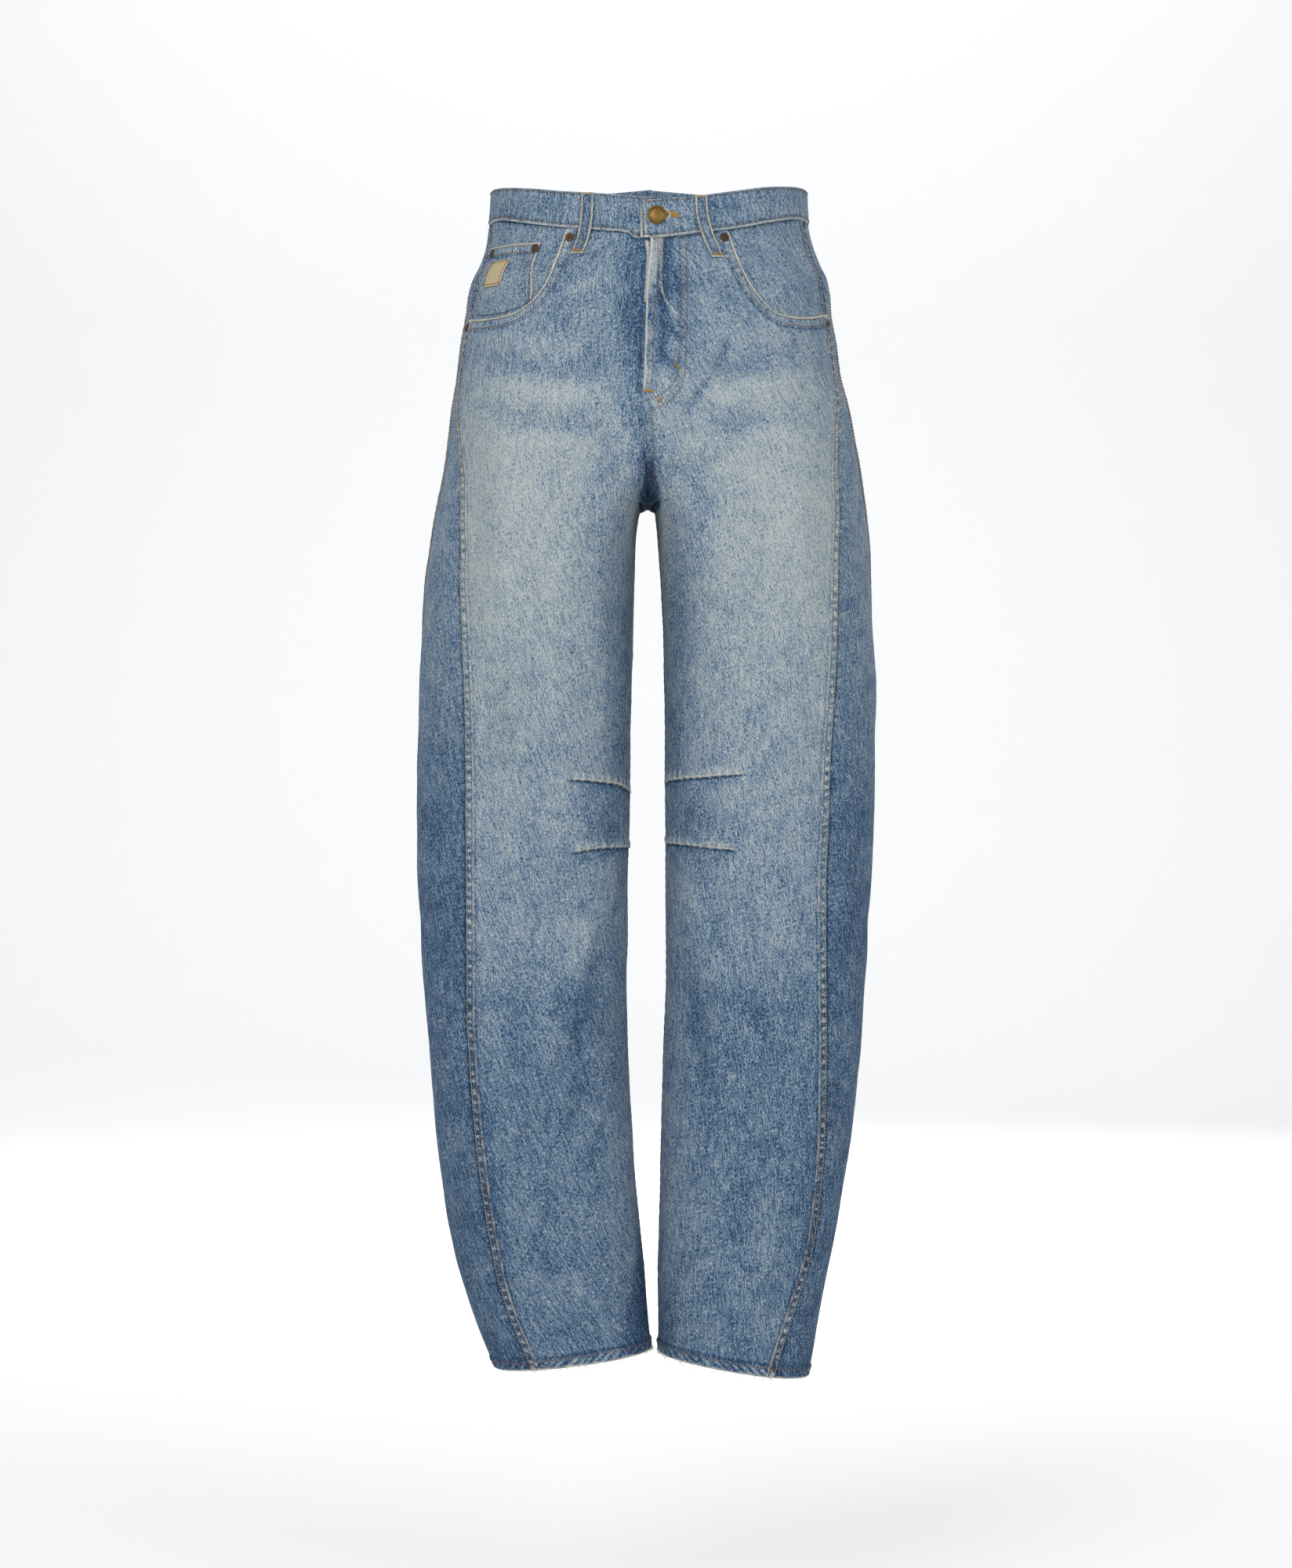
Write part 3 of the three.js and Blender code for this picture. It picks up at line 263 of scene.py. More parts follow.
def section_tables():
    tables = {}
    zs = np.arange(Z_LOW, Z_HIGH + Z_STEP, Z_STEP)
    steps = np.arange(0, REACH_MAX + 1.0)
    us = np.arange(WIDTH_FROM, WIDTH_TO)
    for side in (-1, 1):
        for back in (False, True):
            u_table = np.empty((len(zs), len(steps)))
            y_table = np.empty_like(u_table)
            reach_table = np.empty((len(zs), len(us)))
            length = np.empty(len(zs))
            for i, z in enumerate(zs):
                u, y, reach, end = half_section(side, z, back)
                u_table[i] = np.interp(steps, reach, u)
                y_table[i] = np.interp(steps, reach, y)
                length[i] = end
                at = np.interp(us, u[-2::-1], reach[-2::-1])
                reach_table[i] = np.where(us <= u[-2], end + u[-2] - us, at)
            tables[side, back] = (u_table, y_table, reach_table, length)
    return tables


TABLES = section_tables()


def look_up(table, z, column):
    row = np.clip((z - Z_LOW) / Z_STEP, 0, table.shape[0] - 1.001)
    column = np.clip(column, 0, table.shape[1] - 1.001)
    i = row.astype(int)
    k = column.astype(int)
    s = row - i
    t = column - k
    return ((table[i, k] * (1 - t) + table[i, k + 1] * t) * (1 - s)
            + (table[i + 1, k] * (1 - t) + table[i + 1, k + 1] * t) * s)


def half_length(side, z, back):
    table = TABLES[side, back][3]
    return np.interp(z, Z_LOW + Z_STEP * np.arange(len(table)), table)


def surface(side, reach, z):
    """Points of the plain cloth surface."""
    reach, z = np.broadcast_arrays(np.asarray(reach, float), np.asarray(z, float))
    far = np.abs(reach)
    behind, before = TABLES[side, True], TABLES[side, False]
    u, y = (np.where(reach > 0, look_up(behind[k], z, far), look_up(before[k], z, far)) for k in (0, 1))
    return np.stack([side * u, y, z], -1)


def normal(side, reach, z):
    along = surface(side, reach + 4, z) - surface(side, reach - 4, z)
    up = surface(side, reach, z + 6) - surface(side, reach, z - 6)
    out = np.cross(along, up) * side
    return out / np.maximum(np.linalg.norm(out, axis=-1, keepdims=True), 1e-9)


def front_reach(side, u, z):
    u, z = np.broadcast_arrays(np.asarray(u, float), np.asarray(z, float))
    return -look_up(TABLES[side, False][2], z, u - WIDTH_FROM)


def turn_of(side, reach):
    return np.where(reach > 0, reach / half_length(side, 0, True), reach / half_length(side, 0, False))


def waist_seam(side, reach):
    return waist_seam_at[side](turn_of(side, reach))


def waist_top(side, reach):
    return waist_top_at[side](turn_of(side, reach))


def hem_height(side, reach):
    inner_x, inner_z, outer_x, outer_z = HEM[side]
    u = side * surface(side, reach, HEM_Z)[..., 0]
    return lerp(inner_z, outer_z, (u - inner_x) / (outer_x - inner_x))


def tilted(side, reach, z):
    """Heights that lean towards the hem's slope near the foot."""
    t = smooth((HEM_BLEND_FROM - z) / (HEM_BLEND_FROM - HEM_BLEND_TO))
    return z + t * 0.5 * (hem_height(side, reach) - HEM_Z)


def front_inner(side, z):
    """Reach of the inner edge of a front panel: the fly lap, the front seam, then the inseam."""
    z = np.asarray(z, float)
    lap = smooth((z - LAP_END) / 6) * (LAP_WIDTH - SEAM_GAP)
    over = 2.0 * smooth((LAP_END - z) / 12) * smooth((z - CROTCH_LOW) / 4)
    own = lap - SEAM_GAP / 2 if side < 0 else SEAM_GAP / 2 - over
    above = front_reach(side, side * (fly_edge(z) + own), z)
    return np.where(z <= CROTCH_LOW, -half_length(side, z, False) + SEAM_GAP / 2, above)


def lap_lift(side, reach, z):
    if side < 0:
        return 0.0
    past = reach - front_inner(side, z)
    foot = smooth((z - LAP_LIFT_END) / (LAP_END - LAP_LIFT_END))
    return LAP_LIFT * foot * smooth((LAP_WIDTH + 6 - past) / 5.5)


def curve(points, count):
    """Evenly spaced points on a smooth line through the given ones."""
    p = np.array(points, float)
    ends = np.vstack([2 * p[0] - p[1], p, 2 * p[-1] - p[-2]])
    out = []
    for i in range(1, len(ends) - 2):
        t = np.linspace(0, 1, 16, endpoint=False)[:, None]
        a, b, c, d = ends[i - 1], ends[i], ends[i + 1], ends[i + 2]
        out.append(0.5 * (2 * b + (c - a) * t + (2 * a - 5 * b + 4 * c - d) * t ** 2
                          + (3 * b - a - 3 * c + d) * t ** 3))
    fine = np.vstack(out + [p[-1:]])
    length = np.concatenate([[0], np.cumsum(np.linalg.norm(np.diff(fine, axis=0), axis=1))])
    want = np.linspace(0, length[-1], count)
    return np.stack([np.interp(want, length, fine[:, k]) for k in range(fine.shape[1])], -1)


mouth_line = {side: curve(SCOOP[side], 61) for side in (-1, 1)}


def mouth_height(side, u):
    return np.interp(u, mouth_line[side][:, 0], mouth_line[side][:, 1])


def seen(side, rows):
    """A line given by x and z as seen from the front, as reach and z."""
    p = np.array(rows, float)
    return np.stack([front_reach(side, side * p[:, 0], p[:, 1]), p[:, 1]], -1)


LATTICE_SIZE = 128
LATTICE = np.random.default_rng(SEED).random((LATTICE_SIZE, LATTICE_SIZE)) * 2 - 1


def noise(u, v, size, seed=0):
    """Soft unevenness from -1 to 1, with spots about `size` across."""
    a = u / size + 17.31 * seed
    b = v / size + 9.77 * seed
    i = np.floor(a).astype(int)
    k = np.floor(b).astype(int)
    s = smooth(a - i)
    t = smooth(b - k)
    at = lambda p, q: LATTICE[p % LATTICE_SIZE, q % LATTICE_SIZE]
    return lerp(lerp(at(i, k), at(i + 1, k), s), lerp(at(i, k + 1), at(i + 1, k + 1), s), t)


def bell(d, width):
    return np.exp(-(d / width) ** 2)


def near(line, reach, z, limit):
    """Distance to a line on the cloth and the place along it, for places within the limit, and its length."""
    distance = np.full(reach.shape, 4.0 * limit)
    place = np.zeros(reach.shape)
    low = line.min(0) - limit
    high = line.max(0) + limit
    pick = (reach > low[0]) & (reach < high[0]) & (z > low[1]) & (z < high[1])
    r = reach[pick]
    h = z[pick]
    best = np.full(r.shape, 4.0 * limit)
    where = np.zeros(r.shape)
    gone = 0.0
    for a, b in zip(line[:-1], line[1:]):
        run = b - a
        long = float(np.hypot(*run)) + 1e-9
        t = np.clip(((r - a[0]) * run[0] + (h - a[1]) * run[1]) / long ** 2, 0, 1)
        d = np.hypot(r - a[0] - t * run[0], h - a[1] - t * run[1])
        closer = d < best
        best = np.where(closer, d, best)
        where = np.where(closer, gone + t * long, where)
        gone += long
    distance[pick] = best
    place[pick] = where
    return distance, place, gone


# Creases and worn bands seen from the front: side, points x z, width, lift, tone, worn. The tone is painted
# shade in the troughs and painted light on the ridges, over the real fading of the whiskers and worn wrinkles
FRONT_LINES = [
    (-1, [(-150, -118), (-100, -127), (-44, -137)], 9, 0.8, 0.10, 0.0),
    (-1, [(-156, -161), (-90, -172), (-30, -181)], 11, 1.0, 0.11, 0.0),
    (-1, [(-150, -141), (-90, -150), (-35, -159)], 8, -0.9, -0.12, 0.0),
    (-1, [(-150, -187), (-90, -196), (-30, -203)], 8, -0.9, -0.11, 0.0),
    (-1, [(-160, -212), (-96, -216), (-34, -224)], 9, 0.8, 0.08, 0.0),
    (-1, [(-60, -128), (-30, -170), (-12, -206)], 6, -0.9, -0.08, 0.0),
    (-1, [(-66, -668), (-69, -700), (-62, -742)], 9, -1.1, -0.15, 0.0),
    (-1, [(-31, -612), (-52, -690), (-72, -783)], 9, -1.0, -0.13, 0.0),
    (-1, [(-38, -592), (-64, -680), (-93, -783)], 10, 1.2, 0.12, 0.0),
    (-1, [(-120, -640), (-140, -720), (-118, -800)], 14, 1.0, 0.05, 0.0),
    (-1, [(-60, -850), (-88, -900), (-96, -960)], 10, -1.0, -0.08, 0.0),
    (-1, [(-40, -900), (-62, -950), (-64, -1000)], 9, 0.9, 0.05, 0.0),
    (1, [(148, -116), (104, -124), (52, -134)], 9, 0.8, 0.09, 0.0),
    (1, [(158, -158), (92, -170), (34, -180)], 11, 1.0, 0.11, 0.0),
    (1, [(150, -139), (90, -149), (38, -157)], 8, -0.9, -0.10, 0.0),
    (1, [(150, -188), (90, -197), (32, -204)], 8, -0.9, -0.12, 0.0),
    (1, [(77.8, -120.6), (54, -158), (38, -184), (24, -203)], 3.0, -1.2, -0.20, 0.0),
    (1, [(84, -123), (60, -160), (44, -188)], 4, 0.8, 0.10, 0.1),
    (1, [(39.5, -560), (66, -640), (92, -705), (118.7, -769)], 10, -1.4, -0.14, 0.0),
    (1, [(56, -590), (84, -680), (118, -742)], 9, 1.1, 0.07, 0.0),
    (1, [(34, -640), (42, -720), (60, -800)], 9, -1.0, -0.12, 0.0),
    (1, [(104, -800), (84, -860), (70, -930)], 11, -1.1, -0.09, 0.0),
    (1, [(64, -820), (50, -880), (40, -960)], 9, 0.9, 0.05, 0.0),
    (1, [(110, -900), (98, -950), (96, -1004)], 9, 0.8, 0.04, 0.0),
    (-1, [(-20, -216), (-38, -250), (-70, -292)], 9, -1.0, -0.10, 0.0),
    (1, [(20, -216), (40, -252), (74, -296)], 9, -1.0, -0.10, 0.0),
    (-1, [(-18, -238), (-30, -290), (-34, -350)], 8, 0.8, -0.04, 0.0),
    (1, [(18, -238), (30, -290), (36, -350)], 8, 0.8, -0.04, 0.0),
    (-1, [(-3, -66), (-14, -74), (-22, -86)], 3.4, 0.7, 0.12, 0.13),
    (-1, [(-4, -98), (-13, -104), (-19, -114)], 3.0, 0.7, 0.12, 0.13),
    (-1, [(-4, -124), (-12, -132), (-18, -145)], 3.2, 0.7, 0.10, 0.12),
    (1, [(21, -64), (27, -74), (31, -86)], 2.6, -0.6, -0.16, 0.0),
    (1, [(20, -98), (26, -108), (32, -112)], 3.0, 0.6, 0.12, 0.15),
    (1, [(14, -112), (24, -122), (31, -130)], 2.6, -0.7, -0.20, 0.0),
    (1, [(8, -130), (20, -146), (30, -151)], 2.4, -0.6, -0.18, 0.0),
    (1, [(6, -148), (16, -162), (24, -166)], 3.0, 0.6, 0.14, 0.15),
]
# Folds at the back and the side: side, points reach z, width, lift, tone. The tone is painted shade in the
# troughs and painted light on the ridges
BACK_LINES = [
    (-1, [(96, -262), (150, -276), (214, -296)], 11, 1.4, 0.10),
    (-1, [(90, -300), (150, -316), (214, -330)], 9, -1.2, -0.10),
    (1, [(100, -266), (160, -280), (218, -300)], 10, 1.3, 0.10),
    (1, [(94, -304), (154, -322), (216, -336)], 9, -1.2, -0.10),
    (-1, [(90, -500), (150, -520), (210, -505)], 10, -1.4, -0.12),
    (-1, [(96, -528), (156, -548), (214, -536)], 11, 1.3, 0.12),
    (-1, [(88, -560), (150, -578), (206, -572)], 9, -1.3, -0.12),
    (1, [(92, -506), (152, -526), (208, -512)], 10, -1.4, -0.12),
    (1, [(98, -534), (158, -554), (212, -540)], 11, 1.3, 0.12),
    (1, [(92, -566), (152, -584), (204, -578)], 9, -1.3, -0.12),
    (-1, [(100, -640), (150, -720), (190, -800)], 12, 1.2, 0.06),
    (1, [(104, -650), (150, -726), (192, -806)], 12, 1.2, 0.06),
    (-1, [(110, -850), (150, -900), (168, -960)], 11, -1.1, -0.08),
    (1, [(112, -846), (150, -896), (170, -956)], 11, -1.1, -0.08),
    (-1, [(-60, -330), (-20, -420), (20, -470)], 13, 1.2, 0.05),
    (1, [(-58, -334), (-18, -424), (22, -474)], 13, 1.2, 0.05),
    (-1, [(-50, -560), (0, -640), (40, -740)], 12, -1.1, -0.05),
    (1, [(-48, -566), (2, -646), (42, -746)], 12, -1.1, -0.05),
]
# Knee darts on the front, from their outer end to the inseam: side, points reach z
DARTS = [
    (-1, [(-179, -506.5), (-200, -507.5), (-215, -508.9), (-237, -511), (-252, -513.8), (-271, -518)]),
    (-1, [(-179, -571), (-211, -566.9), (-240, -566.6), (-271, -567.1)]),
    (1, [(-160, -501.4), (-180, -502.8), (-210, -505.2), (-252, -507.5), (-271, -509.5)]),
    (1, [(-163, -568.6), (-182, -567.3), (-224, -564), (-271, -563)]),
]
DART_DEPTH = 1.5
DART_RIDGE = 1.0
CURVE_POINTS = 24


def fold_lift(side, reach, z):
    total = np.zeros(reach.shape)
    for fold_side, from_reach, from_z, to_reach, to_z, width, height in FOLDS:
        if fold_side != side:
            continue
        run = to_reach - from_reach
        drop = to_z - from_z
        t = np.clip(((reach - from_reach) * run + (z - from_z) * drop) / (run * run + drop * drop), 0, 1)
        off = np.hypot(reach - from_reach - t * run, z - from_z - t * drop) / width
        total += height * (0.35 + 2.6 * t * (1 - t)) * np.exp(-off * off)
    return total


CREASES = [(side, seen(side, curve(line, CURVE_POINTS)), *rest) for side, line, *rest in FRONT_LINES]
CREASES += [(side, curve(line, CURVE_POINTS), *rest, 0.0) for side, line, *rest in BACK_LINES]
DART_CURVES = [(side, curve(line, CURVE_POINTS)) for side, line in DARTS]


def add(totals, parts):
    for total, part in zip(totals, parts):
        total += part


def creases(side, reach, z):
    """What the creases and darts add: lift, tone with painted shade and light, and worn."""
    lift, tone, worn = np.zeros((3, *reach.shape))
    for line_side, line, width, height, shade, wear in CREASES:
        if line_side != side:
            continue
        d, along, long = near(line, reach, z, 3 * width)
        fade = (smooth((along + 0.15 * width) / (0.3 * long))
                * smooth((long - along + 0.15 * width) / (0.3 * long)))
        wide = width * (1 + 0.3 * noise(along, 0 * along, 23, 3))
        shape = bell(d, wide) * fade * (1 + 0.35 * noise(along, d, 12, 4))
        add([lift, tone, worn], [height * shape, shade * shape, wear * shape])
    for k, (line_side, line) in enumerate(DART_CURVES):
        if line_side != side:
            continue
        d, along, _ = near(line, reach, z, EDGE_NEAR)
        fade = smooth(along / 14)
        above = np.where(z > np.interp(-reach, -line[:, 0], line[:, 1]), 1.0, 0.0)
        waver = 1 + 0.4 * noise(along, 0 * along, 8, 5 + k)
        tick = smooth(2.6 * np.sin(along * 0.72 + 2.2 * noise(along, 0 * along, 15, 5 + k)) - 1.2)
        tick = tick * above * smooth((10 * waver - d) / 5)
        lift += fade * (-DART_DEPTH * bell(d, 1.1) + DART_RIDGE * above * bell(d - 4.2, 3.4) + 0.5 * tick)
        # Painted shade in the dart's groove and under its fold, painted light on the ridge above it
        tone += fade * (-0.90 * bell(d, 0.95) - 0.16 * (1 - above) * bell(d, 8)
                        + 0.10 * above * bell(d - 4, 3.5) + 0.14 * tick)
        worn += fade * above * (0.80 * bell(d - 2.0, 0.9) * (0.6 + 0.4 * waver) + 0.60 * tick)
    return lift, tone, worn


def unevenness(u, z):
    return 0.55 * noise(u, z, 46, 1) + 0.32 * noise(u, z * 0.8, 19, 2) + 0.10 * noise(u, z, 6, 6)


# Wash from 0 (dark) to 1 (pale) down the garment: z, front, side panel, back. The side panels' darker values
# are partly less faded cloth and partly painted shade where the sides turn away from the light
WASH_AND_SHADE = [
    (40, 0.46, 0.40, 0.46), (-40, 0.50, 0.44, 0.48), (-112, 0.50, 0.44, 0.52), (-150, 0.56, 0.46, 0.62),
    (-200, 0.66, 0.50, 0.70), (-260, 0.73, 0.50, 0.66), (-330, 0.71, 0.44, 0.60), (-414, 0.67, 0.37, 0.56),
    (-480, 0.62, 0.30, 0.50), (-540, 0.56, 0.26, 0.50), (-634, 0.50, 0.24, 0.46), (-700, 0.38, 0.23, 0.38),
    (-770, 0.32, 0.24, 0.33), (-860, 0.35, 0.23, 0.32), (-960, 0.33, 0.20, 0.30), (-1030, 0.33, 0.19, 0.30),
]
wash_front, side_wash_and_shade, wash_back = (track(WASH_AND_SHADE, i) for i in (1, 2, 3))
# Soft patches on the front: x, z, half width, half height, wash, strength. The pale ones are worn fading; the
# dark ones along the inner edges of the legs and at the crotch are painted shade, and those beside the fly
# and at the outer edges of the lower legs are painted shade on less faded cloth
PATCHES = [
    (-112, -270, 52, 105, 0.90, 0.75), (116, -268, 52, 105, 0.90, 0.75), (-76, -172, 44, 12, 0.80, 0.50),
    (84, -172, 42, 12, 0.80, 0.50), (-34, -300, 20, 60, 0.52, 0.70), (34, -300, 20, 60, 0.52, 0.70),
    (-24, -380, 16, 70, 0.34, 0.80), (26, -380, 16, 70, 0.36, 0.80), (-22, -470, 14, 60, 0.30, 0.75),
    (24, -470, 14, 60, 0.32, 0.75), (-34, -542, 22, 30, 0.24, 0.75), (36, -540, 22, 30, 0.24, 0.75),
    (-120, -526, 46, 42, 0.66, 0.60), (118, -524, 46, 42, 0.66, 0.60), (-96, -634, 40, 36, 0.58, 0.55),
    (96, -634, 40, 36, 0.56, 0.50), (-12, -100, 15, 56, 0.20, 0.80), (22, -96, 14, 44, 0.26, 0.70),
    (-6, -196, 14, 20, 0.26, 0.60), (0, -236, 12, 24, 0.10, 0.85), (-18, -640, 10, 110, 0.34, 0.60),
    (20, -640, 10, 110, 0.42, 0.60), (-14, -850, 18, 130, 0.52, 0.70), (20, -840, 18, 150, 0.50, 0.70),
    (-104, -8, 26, 16, 0.32, 0.60), (66, -8, 24, 16, 0.32, 0.60), (-150, -900, 22, 90, 0.08, 0.75),
    (150, -890, 18, 90, 0.12, 0.60), (-84, -900, 30, 90, 0.42, 0.45), (90, -900, 30, 90, 0.42, 0.45),
    (-10, -990, 12, 44, 0.05, 0.80), (16, -1000, 10, 40, 0.14, 0.60), (-4, -950, 7, 62, 0.0, 0.90),
    (-128, -110, 26, 12, 0.56, 0.40), (126, -108, 26, 12, 0.56, 0.40),
]
# Greenish-grey cast beside the front seams on the thighs: x, z, half width, half height, strength
CASTS = [
    (-144, -300, 20, 150, 0.9), (148, -300, 18, 150, 0.8), (-128, -460, 24, 90, 0.7),
    (136, -460, 22, 90, 0.6), (-30, -330, 16, 80, 0.5), (34, -330, 16, 80, 0.5), (60, -150, 14, 40, 0.5),
]


def wash(part, reach, x, z):
    """How pale the cloth is, with painted shade in some places, and how strong its cast."""
    if part == "side":
        # The side panels are darker partly by painted shade where they turn away from the light
        tone = side_wash_and_shade(z) + 0.05 * noise(reach, z, 40, 11)
        return tone, 0.35 * bell(z + 380, 160)
    if part == "back":
        tone = wash_back(z)
        far = np.abs(x)
        # A pale worn seat and backs of the knees; painted shade along the centre seam of the seat and on the
        # inner legs below the crotch
        tone = lerp(tone, 0.82, 0.5 * bell((far - 92) / 50, 1) * bell((z + 175) / 60, 1))
        seat = smooth((z + 300) / 60) * smooth((-z - 150) / 50)
        tone = lerp(tone, 0.22, 0.6 * bell((far - 6) / 16, 1) * seat)
        tone = lerp(tone, 0.2, 0.5 * bell((far - 20) / 18, 1) * smooth((-z - 262) / 40))
        tone = lerp(tone, 0.66, 0.4 * bell((far - 110) / 40, 1) * bell((z + 545) / 46, 1))
        return tone, 0 * tone
    tone = wash_front(z) - (0.10 if part == "loop" else 0.0)
    for px, pz, wide, high, value, strength in PATCHES:
        tone = lerp(tone, value, strength * np.exp(-np.hypot((x - px) / wide, (z - pz) / high) ** 2.4))
    cast = np.zeros(x.shape)
    for px, pz, wide, high, strength in CASTS:
        cast = np.maximum(cast, strength * bell(np.hypot((x - px) / wide, (z - pz) / high), 1))
    return tone, cast


def waves(along, period, seed):
    """Uneven ripples along an edge, from -1 to 1."""
    wander = 3.4 * noise(along, 0 * along, 1.9 * period, seed)
    strength = 0.72 + 0.42 * noise(along, 0 * along, 2.7 * period, seed + 9)
    return np.sin(along * 2 * math.pi / period + wander) * strength


def rough(along, size, seed):
    return 0.5 + 0.5 * noise(along, 0 * along, size, seed)


# What each kind of edge adds to lift, tone and worn at a distance d from it and a place s along it. The dark
# lines in their tones, at seams, in stitch grooves, under folded edges and where raised bands drop, are
# painted shade, partly indigo left in the grooves
def felled(d, s, seed):
    band = smooth((7.4 - d) / 1.5)
    pucker = waves(s, 7.8, seed)
    lift = band * (0.55 + 0.36 * pucker * bell(d - 3.4, 2.8))
    # Painted shade in a line at the seam and another where the raised band drops to the panel
    tone = band * (0.34 * pucker * bell(d - 4, 2.6) - 0.12) - 0.34 * bell(d, 0.9) - 0.20 * bell(d - 9.4, 1.2)
    worn = (0.85 * bell(d - 7.6, 1.0) * rough(s, 6, seed + 1)
            + 0.80 * smooth(1.6 * pucker - 0.3) * bell(d - 4, 1.5))
    return lift, tone, worn


def under(d, s, seed):
    pucker = waves(s, 8.4, seed)
    lift = 0.24 * pucker * bell(d - 4, 5) - 0.30 * bell(d, 1.8)
    # Painted shade along the edge, in the gap beside the lapping piece
    tone = -0.18 * bell(d, 1.7) + 0.10 * pucker * bell(d - 5, 5)
    return lift, tone, 0.14 * smooth(pucker) * bell(d - 4, 2)


def plain(d, s, seed):
    # Painted shade along the edge
    return -0.1 * bell(d, 1.5), -0.12 * bell(d, 2.0), 0 * d


def hem(d, s, seed):
    rope = waves(s + 1.2 * d, 8.8, seed)
    lift = 0.42 * rope * bell(d - 4.6, 4.2)
    # Painted shade in a line just above the turned hem
    tone = (0.36 * rope - 0.06) * bell(d - 4.8, 4.4) - 0.40 * bell(d - HEM_DEPTH - 0.9, 1.1)
    spots = smooth(3 * rough(s, 19, seed + 5) - 2.0)
    worn = (1.1 * bell(d - 0.3, 1.3 + 1.6 * spots) * (0.35 + rough(s, 8, seed + 1))
            + 0.34 * smooth(1.4 * rope - 0.2) * bell(d - 5, 2.6))
    return lift, tone, worn


def lip(d, s, seed):
    pucker = waves(s, 7.2, seed)
    lift = 0.5 * smooth((10 - d) / 1.6) + 0.26 * pucker * bell(d - 5, 3)
    # Painted shade in a line where the raised band along the mouth ends
    tone = 0.16 * pucker * bell(d - 5, 3.4) - 0.26 * bell(d - 10.6, 1.2)
    width = 1.6 + 1.5 * smooth(3 * rough(s, 16, seed + 3) - 2.1)
    worn = (1.15 * bell(d - 0.5, width) * (0.6 + 0.6 * rough(s, 7, seed + 1))
            + 0.28 * smooth(pucker) * bell(d - 5, 1.8))
    return lift, tone, worn


def waist(d, s, seed):
    pucker = waves(s, 6.6, seed)
    lift = 0.26 * pucker * bell(d - 5, 6) - 0.25 * bell(d, 1.8)
    # Painted shade under the waistband's lower edge
    return lift, -0.40 * bell(d, 2.0) + 0.12 * pucker * bell(d - 6, 6), 0.18 * smooth(pucker) * bell(d - 6, 4)


def band_low(d, s, seed):
    pucker = waves(s, 5.6, seed)
    lift = 0.30 * pucker * bell(d - 7, 6) - 0.15 * bell(d - 3, 1.0)
    # Painted shade in the groove just above the stitching
    tone = 0.15 * pucker * bell(d - 8, 8) - 0.14 * bell(d - 3.8, 1.2)
    worn = (0.95 * bell(d - 0.7, 1.0) * (0.4 + 0.7 * rough(s, 6, seed + 1))
            + 0.2 * smooth(pucker) * bell(d - 7, 3))
    return lift, tone, worn


def band_top(d, s, seed):
    pucker = waves(s, 9.4, seed)
    lift = 0.12 * pucker * bell(d - 4, 3) - 0.12 * bell(d - 1.8, 0.9)
    worn = 0.30 * bell(d - 0.4, 1.0) * rough(s, 9, seed + 1)
    # Painted shade in the groove along the stitching
    return lift, 0.07 * pucker * bell(d - 5, 5) - 0.10 * bell(d - 2.2, 1.1), worn


def strip_end(d, s, seed):
    worn = 1.1 * bell(d - 0.7, 1.1) + 0.8 * bell(d - 4.6, 0.9) * (0.5 + 0.6 * rough(s, 5, seed))
    # Painted shade in the groove along the stitching
    return 0.3 * bell(d - 1.6, 1.6) - 0.3 * bell(d - 3.0, 0.9), -0.4 * bell(d - 2.8, 0.9), worn


def worn_and_shaded_edge(d, s, seed):
    worn = bell(d - 0.4, 1.4) * (0.55 + 0.6 * rough(s, 7, seed))
    # Painted shade along the stitching, inside the worn edge
    return 0.12 * bell(d - 1, 1), -0.15 * bell(d - 2.4, 1.0), worn


def hidden(d, s, seed):
    return 0 * d, 0 * d, 0 * d


# The folded strip of the fly on the left front, seen from the front: x, z of its inner ridge
FLY_RIDGE = [(12.4, -34), (12.2, -48.3), (11.6, -66), (11.9, -80), (15.5, -91.2), (20.3, -98.1), (25, -104)]
FLY_SHADOW_LINE = [(-0.9, -40), (0.6, -50), (-0.4, -72), (-2.0, -92)]


